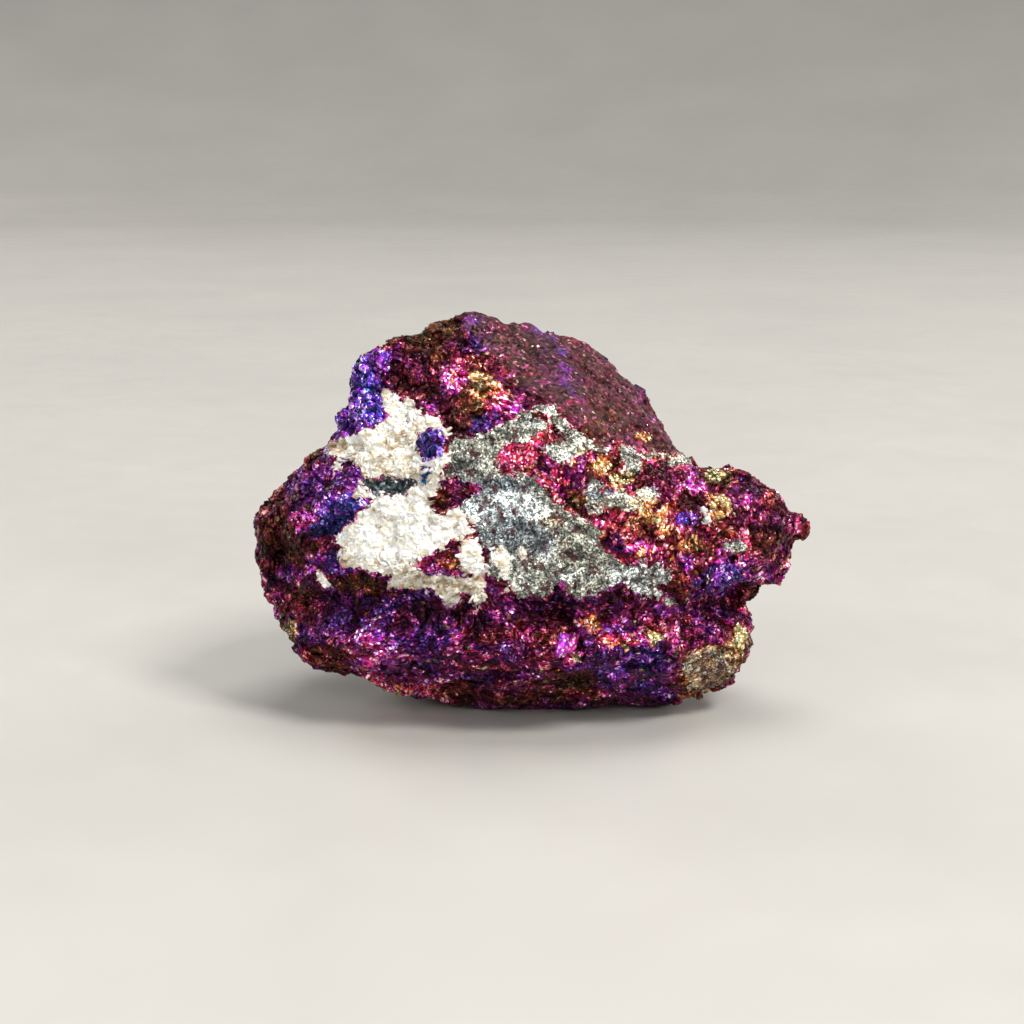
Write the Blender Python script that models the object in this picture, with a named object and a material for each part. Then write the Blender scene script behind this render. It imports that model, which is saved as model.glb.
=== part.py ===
"""A rough hand-sized lump of peacock ore, built as one solid.

The stone is one broken piece. Its mass is laid out as a few overlapping
lobes, each the hull of the corners that show in the real stone: the crown,
the left shoulder, the core with the flat front face, the saddle of pale crust
between crown and shoulder, the spur on the right, and the keel that it rests
on. The lobes are fused into one skin, then the
skin is carved with hollows, ledges, lumps and broken facets.

The front of the stone faces -Y. Sizes are in millimetres in the tables and
are turned into metres by MM.
"""

import math
from typing import NamedTuple

import bmesh
import bpy
from mathutils import Vector, noise

MM = 0.001

STONE_NAME = "ore_lump"
STONE_WIDTH = 70.0
STONE_HEIGHT = 50.0

SKIN_GRID = 0.9
SKIN_SMOOTHING = 0.5
SKIN_SMOOTHING_STEPS = 5
TRIANGLES = 8200
FOOT_HEIGHT = 0.5

CROWN = [
    (-8.4, -3.0, 50.0),
    (-5.6, -2.0, 49.2),
    (-0.4, -1.5, 48.6),
    (6.4, -2.0, 46.6),
    (9.8, -2.0, 44.4),
    (13.4, -2.5, 40.8),
    (16.8, -4.0, 35.0),
    (19.6, -5.0, 30.4),
    (-11.6, -4.0, 48.6),
    (-15.8, -5.5, 46.6),
    (-18.0, -6.5, 45.8),
    (-21.2, -8.0, 43.0),
    (-21.6, -9.0, 38.8),
    (-23.6, -9.0, 37.2),
    (-23.0, -9.5, 34.6),
    (-4.3, -8.5, 44.4),
    (-0.8, -11.5, 40.6),
    (2.8, -13.5, 39.2),
    (7.4, -14.0, 35.4),
    (11.8, -12.5, 33.8),
    (-16.5, -13.5, 37.0),
    (-9.5, -15.5, 37.6),
    (-15.0, 11.0, 40.0),
    (-3.0, 15.0, 41.0),
    (7.0, 14.0, 38.0),
    (15.0, 8.0, 32.0),
    (-20.5, 7.0, 32.0),
    (0.0, 19.0, 26.0),
]

SHOULDER = [
    (-25.4, -7.0, 33.0),
    (-28.0, -6.0, 31.4),
    (-31.2, -4.0, 28.2),
    (-33.2, -4.0, 23.4),
    (-34.2, -4.0, 19.6),
    (-33.6, -5.0, 16.9),
    (-31.6, -7.0, 12.2),
    (-30.0, -8.0, 9.8),
    (-28.2, -9.0, 7.8),
    (-20.5, -13.5, 32.6),
    (-23.0, -15.5, 24.1),
    (-29.4, -11.5, 24.6),
    (-29.6, -12.5, 14.0),
    (-23.0, -17.5, 15.0),
    (-15.5, -19.0, 17.6),
    (-14.0, 0.0, 34.0),
    (-31.5, 6.0, 25.0),
    (-30.5, 8.0, 13.0),
    (-23.0, 14.0, 27.0),
    (-20.0, 16.5, 11.0),
    (-12.0, -10.0, 8.0),
]

CORE = [
    (-22.6, -15.4, 28.4),
    (-11.6, -17.4, 34.4),
    (1.1, -16.2, 37.4),
    (-8.0, -15.4, 38.6),
    (12.0, -14.8, 33.6),
    (19.0, -9.0, 31.0),
    (20.0, -13.8, 25.6),
    (18.0, -17.0, 18.4),
    (-6.0, -20.2, 17.4),
    (-7.0, -19.6, 26.0),
    (8.0, -18.6, 26.0),
    (-21.0, -18.0, 17.6),
    (-20.0, -16.6, 9.0),
    (14.0, -17.0, 9.0),
    (-22.0, 14.0, 27.0),
    (-6.0, 20.5, 30.0),
    (14.0, 17.0, 27.0),
    (22.0, 9.0, 24.0),
    (23.0, 10.0, 12.0),
    (2.0, 20.5, 13.0),
    (-18.0, 14.0, 7.0),
    (4.0, 19.0, 8.0),
    (17.0, 11.0, 7.0),
]

SADDLE = [
    (-24.6, -8.6, 35.2),
    (-22.6, -12.0, 33.0),
    (-23.4, -13.6, 28.0),
    (-15.0, -16.4, 33.4),
    (-10.0, -16.8, 36.0),
    (-12.0, -13.6, 39.4),
    (-20.6, -11.0, 37.0),
    (-18.0, -6.0, 39.0),
    (-22.0, 0.0, 32.0),
    (-10.0, -6.0, 38.0),
    (-14.0, -10.0, 26.0),
]

SPUR = [
    (17.0, -7.0, 31.2),
    (24.4, -7.0, 30.4),
    (27.6, -6.0, 28.6),
    (29.8, -6.0, 27.2),
    (32.3, -6.0, 25.0),
    (34.2, -6.0, 23.2),
    (33.8, -6.0, 21.2),
    (32.4, -6.0, 19.6),
    (31.6, -6.0, 17.8),
    (30.6, -7.0, 16.0),
    (28.2, -7.0, 15.2),
    (20.0, -13.2, 28.0),
    (25.5, -12.2, 26.0),
    (29.6, -10.2, 22.4),
    (27.0, -11.6, 18.0),
    (19.5, -15.6, 18.4),
    (12.0, -12.0, 13.0),
    (30.0, -0.5, 23.0),
    (28.0, 0.0, 17.0),
    (22.0, 6.0, 28.0),
    (22.0, 7.0, 14.0),
]

KEEL = [
    (26.4, -7.0, 13.4),
    (26.4, -7.0, 9.6),
    (25.6, -7.0, 6.8),
    (22.8, -8.0, 4.0),
    (20.0, -8.5, 2.4),
    (16.0, -8.0, 0.9),
    (8.7, -8.5, 1.0),
    (-2.4, -7.5, 0.0),
    (-8.0, -8.5, 0.8),
    (-13.0, -10.0, 2.2),
    (-16.0, -12.4, 4.0),
    (-22.0, -13.4, 6.4),
    (-26.4, -11.0, 6.6),
    (-28.2, -9.6, 7.6),
    (-20.4, -18.2, 12.0),
    (-9.5, -20.8, 11.4),
    (3.5, -21.2, 11.4),
    (15.5, -18.6, 11.5),
    (23.0, -13.0, 11.2),
    (-8.0, 9.0, 0.0),
    (8.0, 8.0, 0.0),
    (13.5, -2.0, 0.0),
    (-13.0, 0.0, 0.0),
    (-20.0, 14.0, 9.0),
    (4.0, 18.5, 8.0),
    (20.0, 12.0, 9.0),
    (-28.0, 2.0, 10.0),
    (24.5, 4.0, 11.0),
]

LOBES = {
    "crown": CROWN,
    "shoulder": SHOULDER,
    "core": CORE,
    "saddle": SADDLE,
    "spur": SPUR,
    "keel": KEEL,
}


class Mark(NamedTuple):
    """A local rise or hollow: it runs from start to end, with a soft edge.

    A positive height swells the skin, and a negative one sinks it.
    """

    start: tuple[float, float, float]
    end: tuple[float, float, float]
    radius: float
    height: float


MARKS = [
    # The groove under the front face, above the keel's bulge
    Mark((-27.0, -16.0, 15.2), (-8.0, -20.4, 15.0), 2.8, -1.3),
    Mark((-8.0, -20.4, 15.0), (16.0, -18.6, 15.4), 2.8, -1.4),
    # The valley of pale crust between the crown and the shoulder
    Mark((-24.0, -12.0, 32.4), (-13.0, -17.0, 32.4), 2.6, -0.8),
    # The dark hollow in the crown, and the bright boss beside it
    Mark((-16.5, -9.5, 41.5), (-12.0, -11.5, 41.0), 4.2, -1.6),
    Mark((-9.8, -11.0, 42.6), (-9.4, -11.6, 41.8), 2.6, 1.4),
    Mark((-5.0, -12.6, 40.4), (-2.5, -13.6, 39.4), 2.8, 1.1),
    # The step at the top of the grainy knob on the crown's left
    Mark((-21.0, -7.6, 43.0), (-17.6, -6.6, 45.4), 2.8, 1.3),
    # The knob that stands in the pale crust
    Mark((-11.5, -16.8, 35.2), (-11.2, -17.2, 34.4), 2.2, 0.9),
    # The ledge where the slope of the crown ends above the front face
    Mark((-1.0, -12.0, 41.0), (3.0, -14.2, 39.4), 1.6, 0.7),
    Mark((5.5, -15.0, 36.8), (12.0, -13.2, 33.8), 1.5, 0.7),
    # Lumps and pits of the upper right relief
    Mark((2.2, -16.8, 33.6), (4.8, -16.5, 34.0), 2.2, 0.9),
    Mark((9.6, -15.6, 31.8), (11.5, -15.2, 31.2), 2.0, -0.9),
    Mark((7.6, -17.2, 29.4), (14.2, -15.6, 28.6), 1.9, 0.9),
    Mark((11.0, -17.4, 24.6), (17.0, -15.8, 24.8), 2.8, 0.9),
    Mark((20.5, -13.8, 24.6), (23.0, -13.0, 23.6), 2.2, -1.6),
    Mark((25.0, -12.2, 25.2), (28.5, -10.5, 24.2), 3.2, 1.0),
    # The neck that sets off the tip of the spur
    Mark((31.0, -9.0, 25.0), (31.2, -9.0, 19.0), 1.6, -0.9),
    # The undercut below the spur
    Mark((25.5, -11.0, 13.6), (28.6, -5.0, 14.2), 2.2, -1.4),
    # Bulges along the keel, and the smooth toe at its left end
    Mark((-28.6, -9.6, 8.4), (-26.0, -12.0, 7.6), 3.0, 0.4),
    Mark((-23.5, -16.0, 11.6), (-14.0, -19.6, 11.2), 3.2, 1.0),
    Mark((-2.0, -21.2, 10.6), (8.0, -20.8, 10.8), 3.0, 0.9),
    Mark((17.5, -16.5, 8.4), (22.0, -12.0, 7.0), 3.2, 0.8),
    # Dents in the crown's ridge
    Mark((-3.4, -1.0, 48.8), (-2.6, 0.0, 48.6), 1.8, -1.3),
    Mark((3.6, -1.5, 47.6), (9.0, -1.5, 45.2), 2.2, -0.9),
    # Broken scoops in the back of the stone
    Mark((-12.0, 16.0, 26.0), (-4.0, 19.0, 20.0), 7.0, -2.2),
    Mark((13.0, 15.0, 20.0), (17.0, 10.0, 28.0), 5.0, -1.6),
    Mark((-25.0, 11.0, 20.0), (-21.0, 14.0, 14.0), 4.6, 1.2),
    Mark((0.0, 16.0, 36.0), (7.0, 16.0, 33.0), 4.5, 1.4),
    Mark((4.0, 19.0, 12.0), (14.0, 15.5, 10.0), 3.6, 1.2),
]


class Calm(NamedTuple):
    """A smoother stretch: from start to end, broken facets keep this share of their relief."""

    start: tuple[float, float, float]
    end: tuple[float, float, float]
    radius: float
    share: float


CALMS = [
    # The long slope of the crown
    Calm((-3.0, -4.0, 46.5), (14.0, -8.0, 36.0), 7.5, 0.35),
    # The grey plate on the front face
    Calm((-7.0, -18.5, 31.0), (12.0, -18.5, 19.0), 5.0, 0.55),
    # The pale crust
    Calm((-17.0, -15.5, 33.0), (-16.0, -18.5, 22.0), 5.0, 0.6),
    # The foot that it rests on
    Calm((-4.0, 2.0, 0.0), (5.0, 0.0, 0.0), 9.0, 0.15),
    # The smooth toe at the keel's left end
    Calm((-30.0, -9.0, 8.8), (-26.0, -12.0, 7.6), 3.0, 0.5),
]


class Breakage(NamedTuple):
    """Broken facets of one size: cell is how wide they are, rise how far they tilt."""

    cell: float
    rise: float
    seed: float


BREAKAGES = [
    Breakage(cell=9.0, rise=1.1, seed=3.0),
    Breakage(cell=4.2, rise=0.55, seed=17.0),
]

FACET_TILT = 2.0
FACET_TILT_KEY = 7.3
FACET_LIFT = 0.5
FACET_LIFT_KEY = 5.1

LUMP_SIZE = 6.0
LUMP_HEIGHT = 0.6
LUMP_ROUGHNESS = 1.0
LUMP_SHRINK = 2.1
LUMP_OCTAVES = 4

LEDGE_SPACING = 2.5
LEDGE_DEPTH = 0.28
LEDGE_TOP = 17.5
LEDGE_FOOT = 2.0
LEDGE_SLOPE = 0.06
LEDGE_WAVER = 1.4
LEDGE_WAVER_SIZE = 9.0

TARNISH_COLOUR = (0.24, 0.035, 0.17, 1.0)
TARNISH_METALLIC = 0.8
TARNISH_ROUGHNESS = 0.38


def clear_scene():
    """Removes every object that the file starts with."""
    for old in list(bpy.data.objects):
        bpy.data.objects.remove(old)


def hull_object(name, corners):
    """Makes one lobe: the convex hull of its corners, in metres."""
    shape = bmesh.new()
    for corner in corners:
        shape.verts.new(Vector(corner) * MM)
    made = bmesh.ops.convex_hull(shape, input=shape.verts)
    inner = list({v for v in made["geom_interior"] if isinstance(v, bmesh.types.BMVert)})
    bmesh.ops.delete(shape, geom=inner, context="VERTS")
    bmesh.ops.recalc_face_normals(shape, faces=shape.faces)
    mesh = bpy.data.meshes.new(name)
    shape.to_mesh(mesh)
    shape.free()
    lobe = bpy.data.objects.new(name, mesh)
    bpy.context.scene.collection.objects.link(lobe)
    return lobe


def apply_modifiers(obj):
    """Turns an object's modifiers into its mesh."""
    bpy.ops.object.select_all(action="DESELECT")
    obj.select_set(True)
    bpy.context.view_layer.objects.active = obj
    for modifier in list(obj.modifiers):
        bpy.ops.object.modifier_apply(modifier=modifier.name)


def fuse(lobes):
    """Joins the lobes and shrinks one even skin round them."""
    bpy.ops.object.select_all(action="DESELECT")
    for lobe in lobes:
        lobe.select_set(True)
    stone = lobes[0]
    bpy.context.view_layer.objects.active = stone
    bpy.ops.object.join()
    stone.name = STONE_NAME
    stone.data.name = STONE_NAME
    skin = stone.modifiers.new("skin", "REMESH")
    skin.mode = "VOXEL"
    skin.voxel_size = SKIN_GRID * MM
    soften = stone.modifiers.new("soften", "SMOOTH")
    soften.factor = SKIN_SMOOTHING
    soften.iterations = SKIN_SMOOTHING_STEPS
    apply_modifiers(stone)
    return stone


def nearness(point, place):
    """How near a point is to a mark or a calm stretch: 1 on its line, fading out past its radius."""
    start = Vector(place.start)
    along = Vector(place.end) - start
    share = (point - start).dot(along) / along.length_squared
    nearest = start + along * min(max(share, 0.0), 1.0)
    reach = (point - nearest).length / place.radius
    return math.exp(-reach * reach)


def mark_height(point):
    """How far the marks raise a point of the skin, in millimetres."""
    return sum(mark.height * nearness(point, mark) for mark in MARKS)


def roughness_share(point):
    """The share of the full broken relief that a point of the skin keeps."""
    share = 1.0
    for calm in CALMS:
        share *= 1.0 - (1.0 - calm.share) * nearness(point, calm)
    return share


def breakage_height(point, breakage):
    """Tilts each cell of the skin as one flat broken facet, in millimetres."""
    offset = Vector((breakage.seed, -breakage.seed, 2.0 * breakage.seed))
    place = point / breakage.cell + offset
    centres = noise.voronoi(place)[1]
    tilt = noise.cell_vector(centres[0] * FACET_TILT_KEY) - Vector((0.5, 0.5, 0.5))
    lift = noise.cell(centres[0] * FACET_LIFT_KEY + offset)
    return breakage.rise * (FACET_TILT * tilt.dot(place - centres[0]) + FACET_LIFT * lift)


def ledge_height(point):
    """Thin ledges that run round the keel like the edges of slates, in millimetres."""
    if point.z > LEDGE_TOP or point.z < LEDGE_FOOT:
        return 0.0
    waver = LEDGE_WAVER * noise.noise(point / LEDGE_WAVER_SIZE)
    level = (point.z + LEDGE_SLOPE * point.x + waver) / LEDGE_SPACING
    step = level - math.floor(level)
    fade = min(1.0, (LEDGE_TOP - point.z) / LEDGE_SPACING)
    return LEDGE_DEPTH * fade * (step - 0.5)


def lump_height(point):
    """Soft irregular swelling of the whole skin, in millimetres."""
    swell = noise.fractal(point / LUMP_SIZE, LUMP_ROUGHNESS, LUMP_SHRINK, LUMP_OCTAVES)
    return LUMP_HEIGHT * swell


def carve(stone):
    """Moves each point of the skin along its normal by all the relief at that place."""
    normals = [v.normal.copy() for v in stone.data.vertices]
    for vertex, normal in zip(stone.data.vertices, normals):
        point = vertex.co / MM
        broken = sum(breakage_height(point, breakage) for breakage in BREAKAGES)
        height = (broken + lump_height(point)) * roughness_share(point)
        height += ledge_height(point) + mark_height(point)
        vertex.co += normal * height * MM


def thin_out(stone):
    """Brings the skin down to the triangles that its shape needs."""
    stone.data.calc_loop_triangles()
    now = len(stone.data.loop_triangles)
    thin = stone.modifiers.new("thin", "DECIMATE")
    thin.ratio = TRIANGLES / now
    thin.use_collapse_triangulate = True
    apply_modifiers(stone)


def cut_foot(stone):
    """Cuts the small flat spot that the stone rests on."""
    shape = bmesh.new()
    shape.from_mesh(stone.data)
    lowest = min(v.co.z for v in shape.verts)
    level = lowest + FOOT_HEIGHT * MM
    bmesh.ops.bisect_plane(
        shape,
        geom=list(shape.verts) + list(shape.edges) + list(shape.faces),
        plane_co=(0.0, 0.0, level),
        plane_no=(0.0, 0.0, 1.0),
        clear_inner=True,
    )
    rim = [e for e in shape.edges if e.is_boundary]
    bmesh.ops.holes_fill(shape, edges=rim, sides=0)
    bmesh.ops.triangulate(shape, faces=list(shape.faces))
    bmesh.ops.recalc_face_normals(shape, faces=shape.faces)
    shape.to_mesh(stone.data)
    shape.free()


def shell_from(start):
    """All the faces that hang together with one face."""
    found = {start}
    waiting = [start]
    while waiting:
        face = waiting.pop()
        near = {other for edge in face.edges for other in edge.link_faces} - found
        found |= near
        waiting.extend(near)
    return found


def keep_largest_shell(stone):
    """Leaves only the outer skin, so that no gap the lobes close off stays inside the stone."""
    shape = bmesh.new()
    shape.from_mesh(stone.data)
    left = set(shape.faces)
    shells = []
    while left:
        shell = shell_from(next(iter(left)))
        shells.append(shell)
        left -= shell
    outer = max(shells, key=len)
    spare = [face for face in shape.faces if face not in outer]
    bmesh.ops.delete(shape, geom=spare, context="FACES")
    shape.to_mesh(stone.data)
    shape.free()


def set_on_origin(stone):
    """Brings the stone to its real width, its foot to z = 0 and its middle over the origin."""
    points = [v.co.copy() for v in stone.data.vertices]
    low = Vector([min(p[i] for p in points) for i in range(3)])
    high = Vector([max(p[i] for p in points) for i in range(3)])
    size = high - low
    wide = STONE_WIDTH * MM / size.x
    scale = Vector((wide, wide, STONE_HEIGHT * MM / size.z))
    base = Vector(((low.x + high.x) / 2, (low.y + high.y) / 2, low.z))
    for vertex in stone.data.vertices:
        moved = vertex.co - base
        vertex.co = Vector(moved[i] * scale[i] for i in range(3))


def tarnish_material():
    """The plain tarnish of the stone, one colour for the whole solid."""
    material = bpy.data.materials.new("tarnish")
    material.use_nodes = True
    shader = material.node_tree.nodes["Principled BSDF"]
    shader.inputs["Base Color"].default_value = TARNISH_COLOUR
    shader.inputs["Metallic"].default_value = TARNISH_METALLIC
    shader.inputs["Roughness"].default_value = TARNISH_ROUGHNESS
    return material


def build():
    """Builds the whole stone."""
    clear_scene()
    lobes = [hull_object(name, corners) for name, corners in LOBES.items()]
    stone = fuse(lobes)
    keep_largest_shell(stone)
    carve(stone)
    thin_out(stone)
    cut_foot(stone)
    keep_largest_shell(stone)
    set_on_origin(stone)
    stone.data.materials.clear()
    stone.data.materials.append(tarnish_material())
    return stone


build()
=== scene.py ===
"""Looks of the peacock ore: the broken skin, its tarnish, the pale crust and the loose grains on it."""

import itertools
import logging
import math
from dataclasses import dataclass
from enum import Enum
from typing import Any, NamedTuple, Protocol

import bpy
import numpy as np
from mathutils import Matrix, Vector


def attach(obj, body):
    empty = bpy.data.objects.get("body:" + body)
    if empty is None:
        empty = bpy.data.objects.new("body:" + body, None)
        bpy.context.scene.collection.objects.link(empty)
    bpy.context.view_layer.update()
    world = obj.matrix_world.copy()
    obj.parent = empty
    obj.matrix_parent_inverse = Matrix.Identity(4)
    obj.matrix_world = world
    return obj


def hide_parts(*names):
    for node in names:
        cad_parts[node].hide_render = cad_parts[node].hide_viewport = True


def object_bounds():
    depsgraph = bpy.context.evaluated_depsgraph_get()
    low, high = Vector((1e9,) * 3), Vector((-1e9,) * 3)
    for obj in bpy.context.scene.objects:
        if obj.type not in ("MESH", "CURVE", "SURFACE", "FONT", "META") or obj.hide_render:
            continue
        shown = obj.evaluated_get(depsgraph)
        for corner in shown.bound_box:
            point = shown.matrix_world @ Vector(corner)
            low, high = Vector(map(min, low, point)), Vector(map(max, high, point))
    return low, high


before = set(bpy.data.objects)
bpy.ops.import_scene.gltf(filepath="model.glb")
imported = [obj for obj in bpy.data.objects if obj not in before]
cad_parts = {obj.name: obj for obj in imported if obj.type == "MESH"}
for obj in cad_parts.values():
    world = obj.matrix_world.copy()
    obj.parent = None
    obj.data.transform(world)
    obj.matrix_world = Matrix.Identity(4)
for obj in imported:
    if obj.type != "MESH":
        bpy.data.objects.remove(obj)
CAD_BOX = [list(corner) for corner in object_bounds()]

BODY = "root"
NODE = "ore_lump"
MM = 0.001

# How the random numbers of a cell are stirred, and how many points are worked on at once
STEPS_ROUND = tuple(itertools.product((-1, 0, 1), repeat=3))
MIXERS = (0x9E3779B97F4A7C15, 0xC2B2AE3D27D4EB4F, 0x165667B19E3779F9)
STIRRER = 0xFF51AFD7ED558CCD
STEP_OF_KEY = 0x51ED270B7
LOW_BITS = 0x1FFFFF
BLOCK = 8192

log = logging.getLogger("peacock_ore")


# Random patterns in space, all in millimetres


class Cells(NamedTuple):
    """The broken cells that some points lie in.

    Attributes:
        near: distance to the cell's middle, in cell sizes.
        border: how much farther the next cell's middle is, in cell sizes.
        offset: the way from the cell's middle to the point, in cell sizes.
        random: three random numbers from 0 to 1 that belong to the cell.
    """

    near: np.ndarray
    border: np.ndarray
    offset: np.ndarray
    random: np.ndarray


def dice(cells: np.ndarray, key: int) -> np.ndarray:
    """Throws three random numbers for each cell of a grid.

    Args:
        cells: whole numbers, three for each cell.
        key: which throw.

    Returns:
        Three numbers from 0 to 1 for each cell.
    """
    whole = cells.astype(np.int64).astype(np.uint64)
    state = np.full(whole.shape[:-1], np.uint64(key * STEP_OF_KEY))
    for axis, mixer in enumerate(MIXERS):
        state += whole[..., axis] * np.uint64(mixer)
    state ^= state >> np.uint64(31)
    state *= np.uint64(STIRRER)
    state ^= state >> np.uint64(29)
    numbers = np.empty((*state.shape, 3))
    for place in range(3):
        numbers[..., place] = (state >> np.uint64(21 * place)) & np.uint64(LOW_BITS)
    return numbers / LOW_BITS


def cells_at(points: np.ndarray, size: float, key: int) -> Cells:
    """Finds the broken cell that each point lies in.

    Args:
        points: places in millimetres.
        size: width of a cell.
        key: which pattern.

    Returns:
        The cells of the points.
    """
    blocks = np.array_split(points / size, max(1, len(points) // BLOCK))
    found = [cells_in_block(block, key) for block in blocks]
    return Cells(*(np.concatenate(values) for values in zip(*found)))


def cells_in_block(scaled: np.ndarray, key: int) -> Cells:
    """Finds the broken cells of a few thousand points.

    Args:
        scaled: places in cell sizes.
        key: which pattern.

    Returns:
        The cells of the points.
    """
    base = np.floor(scaled)
    near = np.full(len(scaled), 9.0)
    second = near.copy()
    offset = np.zeros_like(scaled)
    chosen = base.copy()
    for step in STEPS_ROUND:
        cell = base + step
        away = scaled - cell - 0.5 - (dice(cell, key) - 0.5) * 0.9
        reach = np.sqrt((away**2).sum(axis=1))
        closer = reach < near
        second = np.where(closer, near, np.minimum(second, reach))
        near = np.where(closer, reach, near)
        offset[closer] = away[closer]
        chosen[closer] = cell[closer]
    return Cells(near, second - near, offset, dice(chosen, key + 1))


def facets(points: np.ndarray, size: float, lean: float, key: int) -> np.ndarray:
    """Gives heights in millimetres of a surface broken into flat facets that lean at random."""
    cells = cells_at(points, size, key)
    return size * lean * (cells.offset * (cells.random * 2 - 1)).sum(axis=1)


def smooth_noise(points: np.ndarray, size: float, key: int) -> np.ndarray:
    """Gives soft random values from -1 to 1 that change over the given size in millimetres."""
    blocks = np.array_split(points / size, max(1, len(points) // BLOCK))
    return np.concatenate([noise_in_block(block, key) for block in blocks])


def noise_in_block(scaled: np.ndarray, key: int) -> np.ndarray:
    """Gives the soft random values of a few thousand points.

    Args:
        scaled: places in sizes of the noise.
        key: which pattern.

    Returns:
        Values from -1 to 1.
    """
    base = np.floor(scaled)
    part = scaled - base
    part = part * part * (3 - 2 * part)
    total = np.zeros(len(scaled))
    for corner in itertools.product((0, 1), repeat=3):
        share = np.prod(np.where(corner, part, 1 - part), axis=1)
        total += share * dice(base + corner, key)[:, 0]
    return total * 2 - 1


def clouds(points: np.ndarray, size: float, key: int, layers: int = 3) -> np.ndarray:
    """Adds soft noise of ever finer size.

    Args:
        points: places in millimetres.
        size: size of the coarsest noise.
        key: which pattern.
        layers: how many sizes are added.

    Returns:
        Values from about -1 to 1.
    """
    total = np.zeros(len(points))
    for layer in range(layers):
        total += smooth_noise(points, size / 2**layer, key + layer) / 2**layer
    return total / 1.4


def rise(values: np.ndarray, start: float, end: float) -> np.ndarray:
    """Goes softly from 0 at start to 1 at end."""
    share = np.clip((values - start) / (end - start), 0, 1)
    return share * share * (3 - 2 * share)


# What lies where on the stone, seen from the front


@dataclass(frozen=True)
class FrontView:
    """The view from the front, which the camera has and in which the stone's patches are placed.

    Places in it are pixels of a square picture, across from the left and down from the top.
    """

    target: tuple[float, float, float] = (-2.2, 0.0, 24.1)
    distance: float = 262.0
    elevation: float = 12.0
    lens: float = 72.0
    sensor: float = 36.0
    picture: float = 1024.0

    @property
    def back(self) -> np.ndarray:
        """The way from the target to the eye."""
        lift = math.radians(self.elevation)
        return np.array((0.0, -math.cos(lift), math.sin(lift)))

    @property
    def up(self) -> np.ndarray:
        """The way that is up in the picture."""
        lift = math.radians(self.elevation)
        return np.array((0.0, math.sin(lift), math.cos(lift)))

    @property
    def eye(self) -> np.ndarray:
        """Where the camera stands."""
        return np.array(self.target) + self.back * self.distance

    def seen(self, points: np.ndarray) -> np.ndarray:
        """Projects places on the stone into the picture.

        Args:
            points: places in millimetres.

        Returns:
            How far across and how far down each one is seen.
        """
        away = points - self.eye
        depth = -(away @ self.back)
        zoom = self.picture * self.lens / self.sensor / depth
        across = self.picture / 2 + zoom * away[:, 0]
        down = self.picture / 2 - zoom * (away @ self.up)
        return np.stack((across, down), axis=1)


VIEW = FrontView()

# A pixel of the view in millimetres, how many pixels off an outline's depth is still measured,
# and from how many pixels of reach a patch only tones its neighbourhood
PIXEL = 0.1275
FAR = 24
WIDE = 50

# Sizes in millimetres of the broken forms that skin and map share, with the keys of their patterns
LUMP, LUMP_KEY = 3.0, 191
SHEAF, SHEAF_KEY = 3.4, 181
RIDGE, RIDGE_KEY = 0.5, 221
RIDGE_LENGTH = 3.0
FACET, FACET_KEY = 1.35, 201


class Tint(Enum):
    """Colours of the tarnish, by the film's thickness from thin to thick."""

    YELLOW = 0.02
    GOLD = 0.12
    ORANGE = 0.22
    RED = 0.32
    CRIMSON = 0.40
    MAGENTA = 0.50
    PURPLE = 0.60
    VIOLET = 0.68
    INDIGO = 0.76
    BLUE = 0.84
    TEAL = 1.0


class Patch(NamedTuple):
    """An oval patch of tarnish in the front view.

    Attributes:
        name: what it is.
        at: where its middle is seen.
        reach: its half width and half height.
        turn: how far it is turned, in degrees, clockwise.
        tint: its colour.
        shine: its brightness, 1 for the brightest; above 1 it is painted highlight.
    """

    name: str
    at: tuple[float, float]
    reach: tuple[float, float]
    turn: float
    tint: Tint
    shine: float


# A shine above 1, as on the keel, the foot, the field and the pink streak, is painted highlight; the
# near-black pocket and gap are painted shade.
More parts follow.
